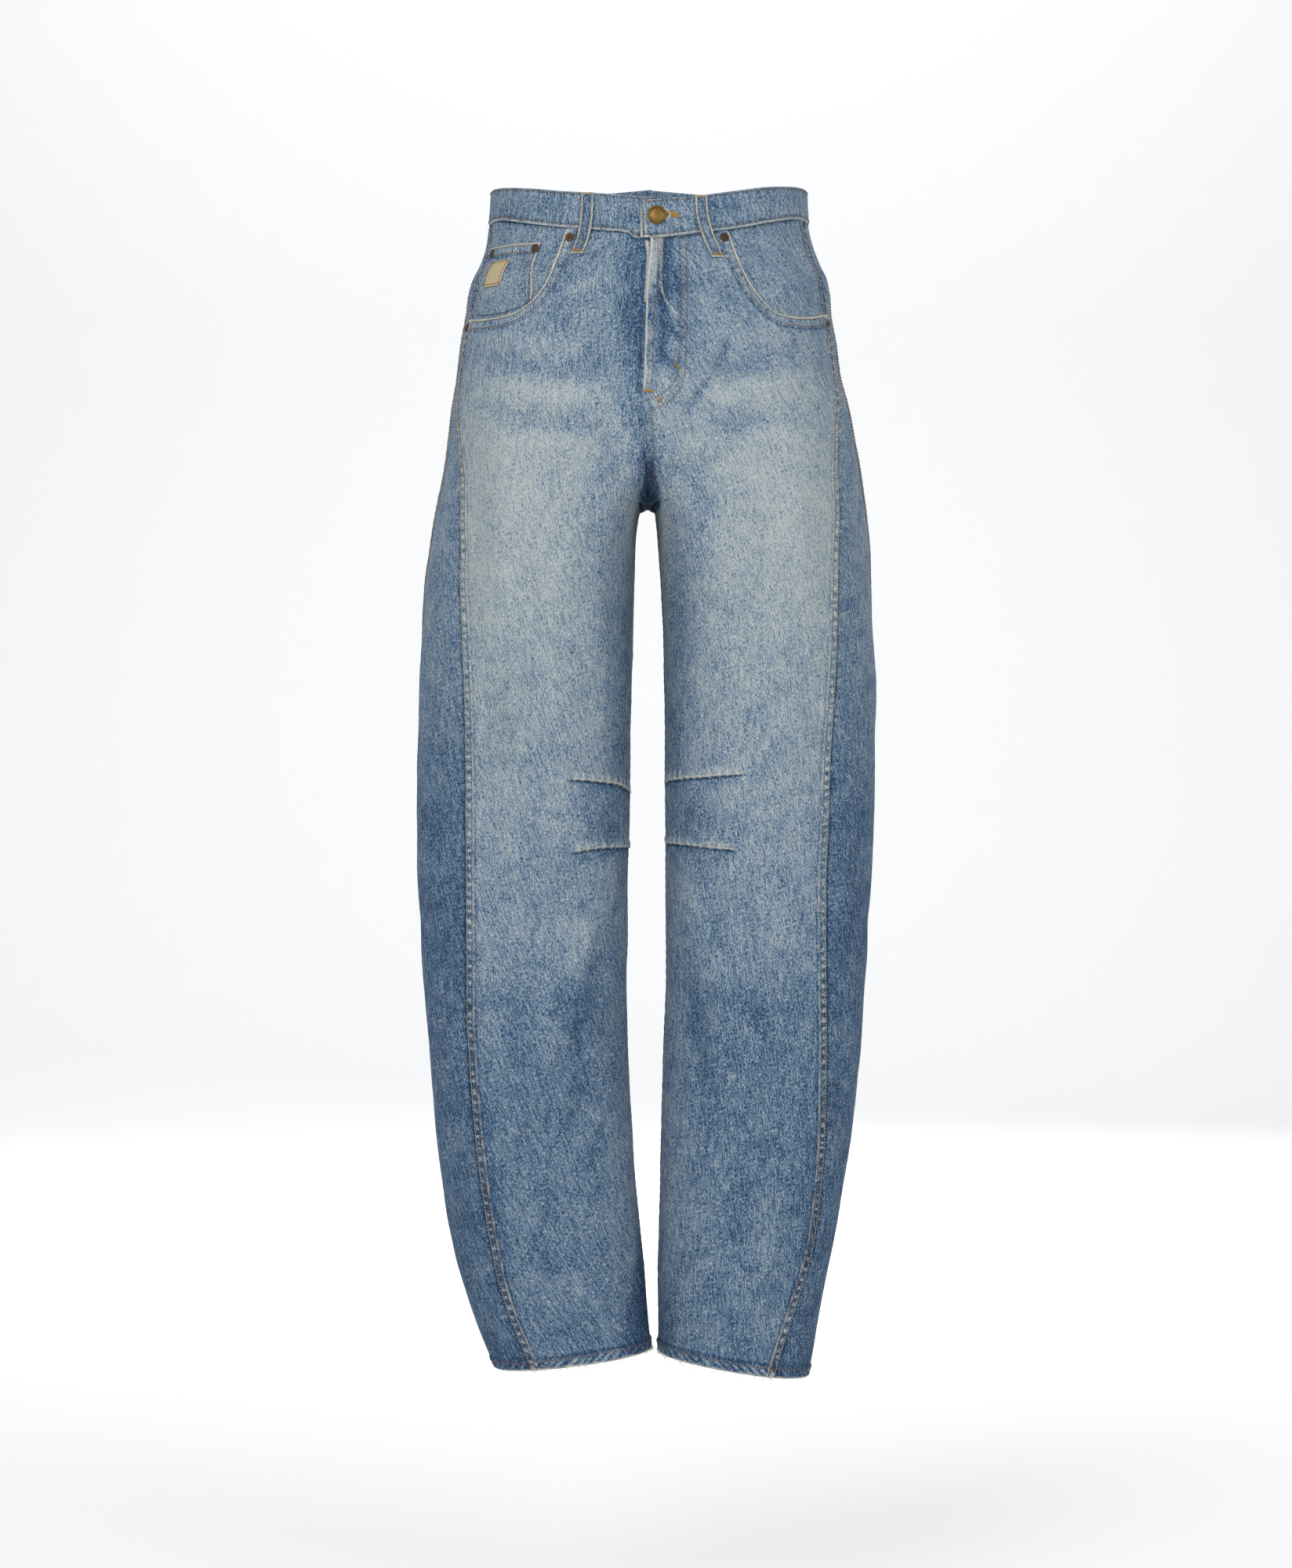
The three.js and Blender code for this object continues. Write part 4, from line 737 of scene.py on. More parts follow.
def fly(side, reach, z, x):
    """The worn strip down the lapped edge, and painted shade on the cloth beside it."""
    on = smooth((z + 176) / 14)
    edge = fly_edge(z)
    d = (x - edge) * (1 if side > 0 else -1)
    blotch = 0.7 * noise(reach, z, 13, 21) + 0.5 * noise(reach, z, 5, 22)
    if side < 0:
        near_line = near(seen(side, curve(FLY_SHADOW_LINE, 20)), reach, z, 8)[0]
        # Painted shade on the right front under the lapped edge
        tone = on * (-0.34 * bell(d - 3.4, 2.0) - 0.12 * bell(d - 10, 8))
        return 0.5 * bell(near_line, 1.2), tone, bell(near_line, 1.1)
    ridge = near(seen(side, curve(FLY_RIDGE, 24)), reach, z, 12)[0]
    strip = on * smooth((9.2 - d) / 1.6) * smooth((z + 100) / 30)
    lower = on * smooth((8.5 - d) / 2.5) * smooth((-z - 88) / 20)
    wide = smooth((z + 98) / 10) * smooth((-z - 20) / 10)
    lift = 0.5 * strip + 0.7 * bell(ridge, 1.6) - 0.6 * wide * bell(d - 12.6, 1.8) + 0.4 * blotch * lower
    # Tone: darker cloth inside the J stitching, painted shade in the groove beside the strip, and dark
    # blotches on the strip
    tone = (-0.30 * on * bell(d - 15, 5.5) * smooth((z + 156) / 20) - 0.2 * wide * bell(d - 12.6, 1.4)
            + 0.14 * strip - 0.45 * strip * smooth(3 * blotch - 0.9))
    worn = (1.1 * on * bell(d - 0.6, 1.1) + 0.42 * strip * smooth(1.1 - 2.2 * blotch)
            + 0.85 * bell(ridge, 1.2) * (0.75 + 0.6 * blotch) + 0.30 * lower * smooth(0.9 - 2 * blotch))
    return lift, tone, worn


def shares(length, fine_start, fine_end, fine, coarse):
    """Shares from 0 to 1 of a length, close together near both ends."""
    count = max(2, round((length - fine_start - fine_end) / coarse))
    parts = [np.arange(0, fine_start - 0.4 * fine, fine),
             np.linspace(fine_start, length - fine_end, count + 1),
             np.arange(length - fine_end + fine, length - 0.4 * fine, fine), [length]]
    return np.unique(np.round(np.concatenate(parts), 4)) / length


def by_side(find, side, *args):
    if np.ndim(side) == 0:
        return find(int(side), *args)
    right = find(-1, *args)
    left = find(1, *args)
    pick = side < 0
    if right.ndim > pick.ndim:
        pick = pick[..., None]
    return np.where(pick, right, left)


def distances(points):
    """How far each grid point lies from the first and last column and the first and last row."""
    across = np.cumsum(np.linalg.norm(np.diff(points, axis=1), axis=-1), axis=1)
    down = np.cumsum(np.linalg.norm(np.diff(points, axis=0), axis=-1), axis=0)
    u = np.hstack([np.zeros((len(points), 1)), across])
    v = np.vstack([np.zeros((1, points.shape[1])), down])
    return u, u[:, -1:] - u, v, v[-1:] - v


class Cloth:
    """A piece of cloth on a grid of places. `kinds` says how its start, end, top and low edge are sewn."""

    def __init__(self, name, node, side, part, reach, z, lift, cloth, kinds, round_by=0.42):
        self.name, self.node, self.reach, self.z, self.part = name, node, reach, z, part
        self.first = 0
        both = np.ndim(side) > 0
        one = 0 if both else int(side)
        base = by_side(surface, side, reach, z)
        out = by_side(normal, side, reach, z)
        x = base[..., 0]
        self.start, self.end, self.top, self.low = start, end, top, low = distances(base)
        sides = (-1, 1) if both else (one,)
        bend, tone_b, worn = (sum(v) for v in zip(*(creases(k, reach, z) for k in sides)))
        if part in ("band", "loop"):
            bend = 0 * bend
        tone, cast = wash(part, reach, x, z)
        soft = unevenness(x + 0.9 * base[..., 1], z) * (0.35 if part in ("band", "loop", "tab") else 1.0)
        body = lift + by_side(fold_lift, side, reach, z) + bend + soft
        fine = np.zeros(reach.shape)
        tone = tone + tone_b
        runs = {"start": (start, top), "end": (end, top), "top": (top, start), "low": (low, start)}
        for k, (edge, kind) in enumerate(zip(EDGES, kinds)):
            d, s = runs[edge]
            add([fine, tone, worn], kind(np.minimum(d, EDGE_NEAR), s, 31 + 3 * k + len(name)))
        if part in ("front", "back"):
            # The two sides press together above the crotch; the dark wedge between them is painted shade
            wedge = 3 + 7 * smooth((WEDGE_TOP - z) / (WEDGE_TOP - CROTCH_LOW))
            dark = smooth((wedge - np.abs(x - WEDGE_X)) / 3) * smooth((WEDGE_TOP - 1 - z) / 10)
            tone = tone - dark * smooth((z - CROTCH_LOW + 10) / 8)
            near_seam = smooth((EDGE_NEAR - start) / 10) * smooth((WEDGE_TOP + 10 - z) / 20)
            body = body + PRESS_LIFT * near_seam * smooth((z - CROTCH_LOW + 3) / 3)
        if part == "front":
            add([fine, tone, worn], fly(one, reach, z, x))
        rim = np.minimum(np.minimum(start, end), np.minimum(top, low))
        fine -= round_by * cloth * bell(rim, 0.8)
        self.outer = base + out * (body + fine)[..., None]
        self.inner = base + out * (body - cloth)[..., None]
        self.out = out
        self.tone = np.clip(tone, 0, 1)
        self.worn = np.clip(worn, 0, 1.4)
        self.cast = np.broadcast_to(cast, reach.shape)
        shift = 900.0 * one + (3000.0 if part in ("coin", "tab", "loop") else 0)
        self.place = np.stack([reach * side + shift + 0 * z, z + 0 * reach, 0 * (reach + z)], -1)

    def at(self, row, column):
        """Points and outward directions of the outer face at fractional rows and columns."""
        rows, columns = self.reach.shape
        row = np.clip(row, 0, rows - 1.001)
        column = np.clip(column, 0, columns - 1.001)
        i = row.astype(int)
        k = column.astype(int)
        s = (row - i)[..., None]
        t = (column - k)[..., None]
        return [lerp(lerp(g[i, k], g[i, k + 1], t), lerp(g[i + 1, k], g[i + 1, k + 1], t), s)
                for g in (self.outer, self.out)]

    def edge_run(self, edge, distance, begin=0.0, stop=ALL):
        """Rows and columns of a line that keeps a distance from an edge, between two places along it."""
        upright = edge in ("start", "end")
        first = edge in ("start", "top")
        far = {"start": self.start, "end": self.end, "top": self.top.T, "low": self.low.T}[edge]
        way = slice(None) if first else slice(None, None, -1)
        steps = np.arange(far.shape[1])[way]
        place = np.array([np.interp(distance, f[way], steps) for f in far])
        at = 0 if first else -1
        long = self.top[:, at] if upright else self.start[at]
        keep = (long >= begin) & (long <= min(stop, long[-1]))
        other = np.arange(len(far), dtype=float)[keep]
        return (other, place[keep]) if upright else (place[keep], other)

    def find(self, line):
        """Rows and columns of a line given by reach and z, looked for from the column `first` on."""
        reaches = self.reach[:, self.first:]
        heights = self.z[:, self.first:]
        reach_down, reach_across = np.gradient(reaches)
        z_down, z_across = np.gradient(heights)
        out = []
        for reach, z in line:
            i, k = np.unravel_index(np.argmin((reaches - reach) ** 2 + (heights - z) ** 2), reaches.shape)
            size = reach_down[i, k] * z_across[i, k] - reach_across[i, k] * z_down[i, k]
            off_reach = (reach - reaches[i, k]) / size
            off_z = (z - heights[i, k]) / size
            row = off_reach * z_across[i, k] - off_z * reach_across[i, k]
            column = off_z * reach_down[i, k] - off_reach * z_down[i, k]
            out.append((i + np.clip(row, -1, 1), self.first + k + np.clip(column, -1, 1)))
        return np.array(out).T


def mesh_object(name, points, faces, attributes=None):
    """faces is a list of arrays, each with one face a row."""
    mesh = bpy.data.meshes.new(name)
    loops = np.concatenate([f.ravel() for f in faces])
    sizes = np.concatenate([np.full(len(f), f.shape[1]) for f in faces])
    mesh.vertices.add(len(points))
    mesh.vertices.foreach_set("co", np.asarray(points, np.float32).ravel() * 0.001)
    mesh.loops.add(len(loops))
    mesh.loops.foreach_set("vertex_index", loops.astype(np.int32))
    mesh.polygons.add(len(sizes))
    mesh.polygons.foreach_set("loop_start", np.concatenate([[0], np.cumsum(sizes)[:-1]]).astype(np.int32))
    mesh.polygons.foreach_set("loop_total", sizes.astype(np.int32))
    mesh.polygons.foreach_set("use_smooth", np.ones(len(sizes), bool))
    mesh.update(calc_edges=True)
    mesh.validate()
    for key, values in (attributes or {}).items():
        kind = "FLOAT_VECTOR" if values.ndim == 2 else "FLOAT"
        layer = mesh.attributes.new(key, kind, "POINT")
        layer.data.foreach_set("vector" if values.ndim == 2 else "value", values.astype(np.float32).ravel())
    thing = bpy.data.objects.new(name, mesh)
    bpy.context.collection.objects.link(thing)
    return thing


def enter(thing, material, node):
    thing.data.materials.append(material)
    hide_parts(node)
    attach(thing, "root")


def run_length(points):
    return np.concatenate([[0], np.cumsum(np.linalg.norm(np.diff(points, axis=0), axis=1))])


def tube_faces(rings, sides):
    """The triangles at a tube's two pointed ends, and the quads between its rings."""
    k = np.arange(sides)
    n = (k + 1) % sides
    last = 1 + (rings - 1) * sides
    triangles = np.concatenate([np.stack([0 * k, 1 + n, 1 + k], -1),
                                np.stack([0 * k + last + sides, last + k, last + n], -1)])
    quads = [1 + r * sides + np.stack([k, n, sides + n, sides + k], -1) for r in range(rings - 1)]
    return triangles, np.concatenate(quads)


# The inner face keeps one in so many of the outer face's rows and columns
INNER_STRIDE = 3


def thinned(count):
    return list(range(0, count - 1, INNER_STRIDE)) + [count - 1]


def grid_quads(rows, columns, shift=0):
    a = (np.arange(rows - 1)[:, None] * columns + np.arange(columns - 1)[None, :]).ravel() + shift
    return np.stack([a, a + columns, a + columns + 1, a + 1], -1)


def shell(cloth, material, slot):
    """The closed shell of a piece: a fine outer face, a sparser inner face and the rim between them."""
    rows, columns = cloth.reach.shape
    rr = thinned(rows)
    cc = thinned(columns)
    wide = len(cc)
    bottom = (len(rr) - 1) * wide
    shift = rows * columns
    rim = {}

    def join(outer_path, a, b):
        rim.setdefault(len(outer_path) + 2, []).append([*outer_path, shift + b, shift + a])
    for p in range(wide - 1):
        low = range(cc[p], cc[p + 1] + 1)
        join(low, p, p + 1)
        join([(rows - 1) * columns + c for c in reversed(low)], bottom + p + 1, bottom + p)
    for p in range(len(rr) - 1):
        low = range(rr[p], rr[p + 1] + 1)
        join([r * columns + columns - 1 for r in low], p * wide + wide - 1, (p + 1) * wide + wide - 1)
        join([r * columns for r in reversed(low)], (p + 1) * wide, p * wide)
    faces = [grid_quads(rows, columns), grid_quads(len(rr), wide, shift)[:, ::-1]]
    faces += [np.array(v) for v in rim.values()]
    i, k = rows // 2, columns // 2
    p = cloth.outer
    if np.dot(np.cross(p[i + 1, k] - p[i, k], p[i, k + 1] - p[i, k]), cloth.out[i, k]) < 0:
        faces = [f[:, ::-1] for f in faces]
    pick = np.ix_(rr, cc)

    def merged(grid, inner):
        return np.concatenate([np.array(g).reshape(-1, *grid.shape[2:]) for g in (grid, inner[pick])])
    attributes = {"wash": merged(cloth.tone, cloth.tone), "worn": merged(cloth.worn, 0 * cloth.worn),
                  "cast": merged(cloth.cast, cloth.cast), "cloth": merged(cloth.place, cloth.place)}
    cloth.object = mesh_object(cloth.name, merged(cloth.outer, cloth.inner), faces, attributes)
    enter(cloth.object, material, cloth.node)


# Stops of the denim's colour from dark to pale: wash, red, green, blue in sRGB
DENIM_STOPS = [
    (0.00, 40, 63, 90), (0.16, 62, 88, 118), (0.30, 83, 110, 140), (0.44, 106, 131, 157),
    (0.58, 129, 149, 166), (0.74, 152, 166, 172), (0.88, 170, 179, 181), (1.00, 188, 194, 193),
]
# Fine patterns added to the denim's wash: repeats across and along, detail, roughness, slant, the values that
# become 0 and 1, the value that adds nothing, amount
LAYERS = {
    "pepper": (1.05, 0.40, 2.5, 0.6, 0.30, 0.28, 0.72, 0.5, 0.84),
    "grain": (2.1, 1.1, 1.0, 0.5, -0.5, 0.25, 0.75, 0.5, 0.46),
    "streak": (0.62, 0.075, 2.0, 0.55, 0.30, 0.28, 0.72, 0.5, 0.34),
    "marble": (0.26, 0.09, 2.0, 0.55, 0.20, 0.28, 0.72, 0.5, 0.22),
    "blotch": (0.042, 0.032, 2.0, 0.5, 0.0, 0.28, 0.72, 0.5, 0.16),
    "slub": (1.3, 0.045, 1.0, 0.5, 0.0, 0.56, 0.78, 0.0, 0.10),
    "weft": (0.05, 1.2, 1.0, 0.5, 0.0, 0.60, 0.80, 0.0, 0.07),
}
CREAM = (203, 202, 190)
CAST = (141, 152, 146)
CAST_AMOUNT = 0.85
CAST_SHARE = 0.55
THREADS = {"rust": (132, 92, 60), "tan": (186, 168, 130), "gold": (176, 138, 62), "white": (205, 203, 192)}
GAIN = 0.68


def linear(colour, gain=1.0):
    return tuple(((c / 255) ** 2.2) * gain for c in colour) + (1.0,)


class Nodes:
    """A material in the making. An input given to a node is a value or another node's output."""

    def __init__(self, name, roughness, **inputs):
        self.material = bpy.data.materials.new(name)
        self.material.use_nodes = True
        self.tree = self.material.node_tree
        self.tree.nodes.clear()
        self.shader = self.add("ShaderNodeBsdfPrincipled", {"Roughness": roughness, **inputs})
        self.add("ShaderNodeOutputMaterial", {"Surface": self.shader.outputs["BSDF"]})

    def feed(self, node, key, value):
        if isinstance(value, bpy.types.NodeSocket):
            self.tree.links.new(value, node.inputs[key])
        else:
            node.inputs[key].default_value = value

    def add(self, kind, inputs=None, **settings):
        node = self.tree.nodes.new(kind)
        for key, value in settings.items():
            setattr(node, key, value)
        for key, value in (inputs or {}).items():
            self.feed(node, key, value)
        return node

    def attribute(self, name, output="Fac"):
        return self.add("ShaderNodeAttribute", attribute_name=name).outputs[output]

    def math(self, operation, a, b, clamp=False):
        return self.add("ShaderNodeMath", {0: a, 1: b}, operation=operation, use_clamp=clamp).outputs[0]

    def noise(self, vector, across, along, detail, roughness, turn):
        place = {"Scale": (1 / across, 1 / along, 1), "Rotation": (0, 0, turn), "Vector": vector}
        mapped = self.add("ShaderNodeMapping", place, vector_type="TEXTURE").outputs[0]
        look = {"Scale": 1.0, "Detail": detail, "Roughness": roughness, "Vector": mapped}
        return self.add("ShaderNodeTexNoise", look, noise_dimensions="2D").outputs["Fac"]

    def spread(self, value, low, high):
        """Stretches a value so that low becomes 0 and high becomes 1."""
        ends = {"From Min": low, "From Max": high, "Value": value}
        return self.add("ShaderNodeMapRange", ends).outputs["Result"]

    def mix(self, factor, a, b):
        return self.add("ShaderNodeMix", {0: factor, 6: a, 7: b}, data_type="RGBA").outputs[2]

    def bump(self, height, strength, distance):
        node = self.add("ShaderNodeBump", {"Strength": strength, "Distance": distance, "Height": height})
        self.feed(self.shader, "Normal", node.outputs["Normal"])


def denim():
    n = Nodes("denim", 0.88, **{"Specular IOR Level": 0.18})
    cloth = n.attribute("cloth", "Vector")
    total = n.attribute("wash")
    layers = {}
    for name, (across, along, detail, roughness, turn, low, high, zero, amount) in LAYERS.items():
        layers[name] = n.spread(n.noise(cloth, across, along, detail, roughness, turn), low, high)
        total = n.math("ADD", total, n.math("MULTIPLY", n.math("SUBTRACT", layers[name], zero), amount))
    ramp = n.add("ShaderNodeValToRGB", {"Fac": total})
    stops = ramp.color_ramp.elements
    while len(stops) < len(DENIM_STOPS):
        stops.new(0.5)
    for stop, (at, *colour) in zip(stops, DENIM_STOPS):
        stop.position = at
        stop.color = linear(colour, GAIN)
    plain_tone = ramp.outputs["Color"]
    cast = n.math("MULTIPLY", n.attribute("cast"), CAST_AMOUNT)
    tinted = n.mix(cast, plain_tone, linear(CAST, GAIN))
    tinted = n.mix(n.math("MULTIPLY", cast, CAST_SHARE), plain_tone, tinted)
    broken = n.math("ADD", n.math("MULTIPLY", layers["pepper"], 0.75), 0.55)
    worn = n.math("MULTIPLY", n.attribute("worn"), broken, True)
    n.feed(n.shader, "Base Color", n.mix(n.spread(worn, 0.12, 0.92), tinted, linear(CREAM, GAIN)))
    fine, coarse = n.math("MULTIPLY", layers["pepper"], 0.6), n.math("MULTIPLY", layers["grain"], 0.5)
    n.bump(n.math("ADD", fine, coarse), 0.35, 0.0004)
    return n.material


def plain_material(name, colour, roughness, metallic=0.0, grain=0.0, scale=900.0, gain=GAIN):
    base = linear(colour, gain)
    n = Nodes(name, roughness, Metallic=metallic, **{"Base Color": base})
    if grain:
        where = n.add("ShaderNodeTexCoord").outputs["Object"]
        texture = n.add("ShaderNodeTexNoise", {"Scale": scale, "Detail": 3.0, "Vector": where}).outputs["Fac"]
        dark, pale = (tuple(min(1.0, c * k) for c in base[:3]) + (1.0,) for k in (1 - grain, 1 + grain))
        n.feed(n.shader, "Base Color", n.mix(n.spread(texture, 0.3, 0.7), dark, pale))
        n.bump(texture, 0.25, 0.0002)
    return n.material


denim_material = denim()
thread_materials = {key: plain_material("thread_" + key, colour, 0.75) for key, colour in THREADS.items()}
brass = plain_material("antique_brass", (134, 106, 62), 0.40, 0.85, 0.45, 1400.0)
bronze = plain_material("dark_bronze", (84, 66, 46), 0.45, 0.8, 0.4, 1400.0)
tab_material = plain_material("beige_tab", (192, 174, 140), 0.8, 0.0, 0.16, 1100.0)

# Usual widths of the panels, the step down a leg, the rows above the hips, and the close rows at the darts
FRONT_WIDTH = 178
SIDE_WIDTH = 120
BACK_WIDTH = 190
LEG_STEP = 2.1
FRONT_ROWS = 84
SIDE_ROWS = 61
BACK_ROWS = 40
DART_ROWS = np.arange(-497, -580, -0.9)
CROTCH_ROWS = CROTCH_LOW + np.array([0.2, -0.1, -0.4, -0.8, -1.4])
HEM_ROWS = 11
COIN_LOW = -95.0
KEYS = {-1: "right", 1: "left"}


def spaced(line, s):
    """Points at shares of a line's length."""
    length = np.concatenate([[0], np.cumsum(np.hypot(*np.diff(line, axis=0).T))])
    return np.stack([np.interp(s * length[-1], length, line[:, k]) for k in (0, 1)], -1)


def half_cloth(kind, node, side, *rest):
    """One of a pair of pieces, named by its side."""
    return Cloth(kind + "_" + KEYS[side], node + "_" + KEYS[side], side, *rest)


def leg_rows(side, edge, s, fine=()):
    """Reach, height and lift down to the turned hem; `edge` gives both ends of the reach at a height."""
    levels = np.concatenate([np.arange(HIP_Z, HEM_BLEND_TO, -LEG_STEP), [HEM_BLEND_TO], fine, CROTCH_ROWS])
    levels = -np.unique(-levels)[:, None]
    level = tilted(side, lerp(*edge(levels), s), levels + 0 * s)
    foot = hem_height(side, lerp(*edge(np.full((1, 1), HEM_Z)), s)) + np.zeros((1, len(s)))
    fold = foot + HEM_DEPTH + 1
    count = max(2, round(float((level[-1:] - fold).mean()) / LEG_STEP))
    above = [lerp(level[-1:], fold, t) for t in np.linspace(0, 1, count + 1)[1:]]
    turned = [foot + high for high in np.linspace(HEM_DEPTH, 0, HEM_ROWS)]
    heights = [level] + above + turned
    z = np.vstack(heights)
    lift = np.zeros(z.shape)
    lift[-HEM_ROWS:] = HEM_LIFT
    return np.vstack([lerp(*edge(h), s) for h in heights]), z, lift


def front_cloth(side):
    s = shares(FRONT_WIDTH, 42 if side > 0 else 28, 14, 0.95, 2.2)
    edge = lambda z: (front_inner(side, z), front_seam[side](z) - SEAM_GAP / 2)
    start = float(front_inner(side, waist_seam_at[side](-1.0)))
    reach = np.linspace(start, float(front_reach(side, *SCOOP[side][0])), 25)
    waist_line = np.stack([reach, waist_seam(side, reach) - SEAM_GAP], -1)
    end_z = SCOOP[side][-1][1] + 1
    mouth = np.vstack([seen(side, mouth_line[side][1:] * (side, 1)),
                       [[float(front_seam[side](end_z)) - SEAM_GAP / 2, end_z]]])
    top = spaced(np.vstack([waist_line, mouth]), s)
    bottom = lerp(*edge(np.array(HIP_Z)), s)
    t = np.arange(FRONT_ROWS)[:, None] / FRONT_ROWS
    z = lerp(top[None, :, 1], HIP_Z, t)
    reach = lerp(top[None, :, 0], bottom[None], t)
    inner, outer = edge(z)
    reach = (reach + smooth(1 - s / 0.16) * (inner[:, :1] - reach[:, :1])
             + smooth((s - 0.84) / 0.16) * (outer[:, -1:] - reach[:, -1:]))
    leg_reach, leg_z, leg_lift = leg_rows(side, edge, s, DART_ROWS)
    reach = np.vstack([reach, leg_reach])
    z = np.vstack([z, leg_z])
    lift = np.vstack([np.zeros((FRONT_ROWS, len(s))), leg_lift])
    waist_part = float(np.hypot(*np.diff(waist_line, axis=0).T).sum())
    mouth_far, mouth_run = near(mouth, reach, z, EDGE_NEAR)[:2]

    def top_edge(d, run, seed):
        beside = smooth((waist_part + 1 - run) / 6) * smooth((mouth_far - 9) / 3)
        return tuple(a * beside + b for a, b in zip(waist(d, run, seed),
                                                    lip(np.minimum(mouth_far, EDGE_NEAR), mouth_run, seed)))
    kinds = (plain, felled, top_edge, hem)
    made = half_cloth("front", "front_panel", side, "front", reach, z, lift + lap_lift(side, reach, z),
                      CLOTH + lift, kinds)
    made.mouth = mouth
    made.waist_part = waist_part
    return made


def long_panel(kind, side, edge, s, top_z, rows, kinds):
    """A side or back panel, from its top seam to the hips and on to the hem."""
    z = lerp(top_z[None], HIP_Z, np.arange(rows)[:, None] / rows)
    leg_reach, leg_z, leg_lift = leg_rows(side, edge, s)
    lift = np.vstack([np.zeros((rows, len(s))), leg_lift])
    return half_cloth(kind, kind + "_panel", side, kind, np.vstack([lerp(*edge(z), s), leg_reach]),
                      np.vstack([z, leg_z]), lift, CLOTH + lift, kinds)


def side_cloth(side):
    s = shares(SIDE_WIDTH, 10, 11, 0.95, 2.6)
    edge = lambda z: (front_seam[side](z) + SEAM_GAP / 2, back_seam[side](z) - SEAM_GAP / 2)
    top_z = waist_seam(side, lerp(*edge(np.array(-12.0)), s)) - SEAM_GAP
    kinds = (under, felled, waist, hem)
    return long_panel("side", side, edge, s, top_z, SIDE_ROWS, kinds)


def back_edges(side):
    return lambda z: (half_length(side, z, True) - SEAM_GAP / 2, back_seam[side](z) + SEAM_GAP / 2)


def yoke_seam(side, s):
    reach = lerp(*back_edges(side)(np.array(YOKE_SIDE_Z)), s)
    return lerp(YOKE_SIDE_Z, YOKE_CENTRE_Z, reach / half_length(side, YOKE_SIDE_Z, True))


def back_cloth(side):
    s = shares(BACK_WIDTH, 12, 8, 1.05, 2.7)
    kinds = (felled if side > 0 else under, under, under, hem)
    return long_panel("back", side, back_edges(side), s, yoke_seam(side, s) - SEAM_GAP / 2, BACK_ROWS, kinds)


def yoke_cloth(side):
    s = shares(BACK_WIDTH, 10, 8, 1.0, 2.4)
    edge = back_edges(side)
    low = yoke_seam(side, s) + SEAM_GAP / 2
    top = waist_seam(side, lerp(*edge(np.array(0.0)), s)) - SEAM_GAP
    z = lerp(top[None], low[None], shares(72, 8, 10, 0.9, 2.0)[:, None])
    kinds = (felled if side > 0 else under, under, waist, felled)
    return half_cloth("yoke", "back_yoke", side, "back", lerp(*edge(z), s), z, 0.0, CLOTH, kinds)


def facing_cloth(side):
    s = np.linspace(0, 1, 52)
    inner = float(front_reach(side, SCOOP[side][0][0] - FACING_OVERLAP, -30.0))
    guess = lerp(inner, float(front_seam[side](-60.0)), s)
    u = side * surface(side, guess, -60.0)[..., 0]
    top = waist_seam(side, guess) + FACING_TUCK
    low = mouth_height(side, u + FACING_OVERLAP * (1 - s)) - FACING_OVERLAP * smooth(s * 3)
    z = lerp(top[None], low[None], s[:, None])
    reach = lerp(inner, front_seam[side](z) + 1.5, s)
    kinds = (hidden, felled, waist, hidden)
    lift = -FACING_DEPTH + 1.4 * smooth((s - 0.80) / 0.12) * smooth((0.985 - s) / 0.02)
    return half_cloth("facing", "pocket_facing", side, "facing", reach, z, lift[None], FACING_CLOTH, kinds)


def coin_cloth():
    side = -1
    s = shares(52, 9, 3, 0.9, 1.3)[None]
    t = shares(58, 10, 0, 0.9, 1.4)[:, None]
    seam = lambda z: front_seam[side](z) - COIN["gap"]
    top_reach = lerp(front_reach(side, COIN["inner"], COIN["top_inner"]), seam(-37.0), s)
    top_z = lerp(COIN["top_inner"], COIN["top_outer"], s)
    low_reach = lerp(front_reach(side, COIN["inner_low"], -86.0), seam(COIN_LOW), s)
    u = side * surface(side, low_reach, COIN_LOW)[..., 0]
    z = lerp(top_z, mouth_height(side, u) + COIN["clear"], t)
    reach = lerp(lerp(top_reach, low_reach, smooth(t)), seam(z), smooth((s - 0.8) / 0.2))
    kinds = (worn_and_shaded_edge, hidden, lip, hidden)
    return Cloth("coin_pocket_cloth", "coin_pocket", side, "coin", reach, z, COIN["lift"] + COIN["cloth"],
                 COIN["cloth"], kinds)


def tab_cloth():
    s = np.linspace(0, 1, 26)[None]
    t = s.T
    pull = 1 - 0.08 * np.abs(2 * s - 1) ** 6 * np.abs(2 * t - 1) ** 6
    reach = lerp(TAB["inner"], TAB["outer"], 0.5 + (s - 0.5) * pull)
    z = lerp(TAB["top"], TAB["low"], 0.5 + (t - 0.5) * pull)
    kinds = (hidden,) * 4
    return Cloth("tab", "plain_tab", -1, "tab", reach, z, TAB["lift"] + TAB["cloth"], TAB["cloth"], kinds,
                 0.3)


def pocket_cloth(side):
    b = BACK_POCKET
    s = shares(128, 10, 10, 1.0, 2.3)[None]
    t = shares(135, 12, 10, 1.0, 2.3)[:, None]
    middle = (b["inner"] + b["outer"]) / 2
    low = lerp(b["point"], b["shoulder"], np.abs(2 * s - 1))
    z = lerp(lerp(b["top_inner"], b["top_outer"], s), low, t)
    from_centre = lerp(b["inner"], b["outer"], s)
    reach = half_length(side, z, True) - (middle + (from_centre - middle) * (1 - b["taper"] * t))
    kinds = (worn_and_shaded_edge, worn_and_shaded_edge, lip, worn_and_shaded_edge)
    return half_cloth("pocket", "back_pocket", side, "back", reach, z, b["lift"] + b["cloth"], b["cloth"],
                      kinds)


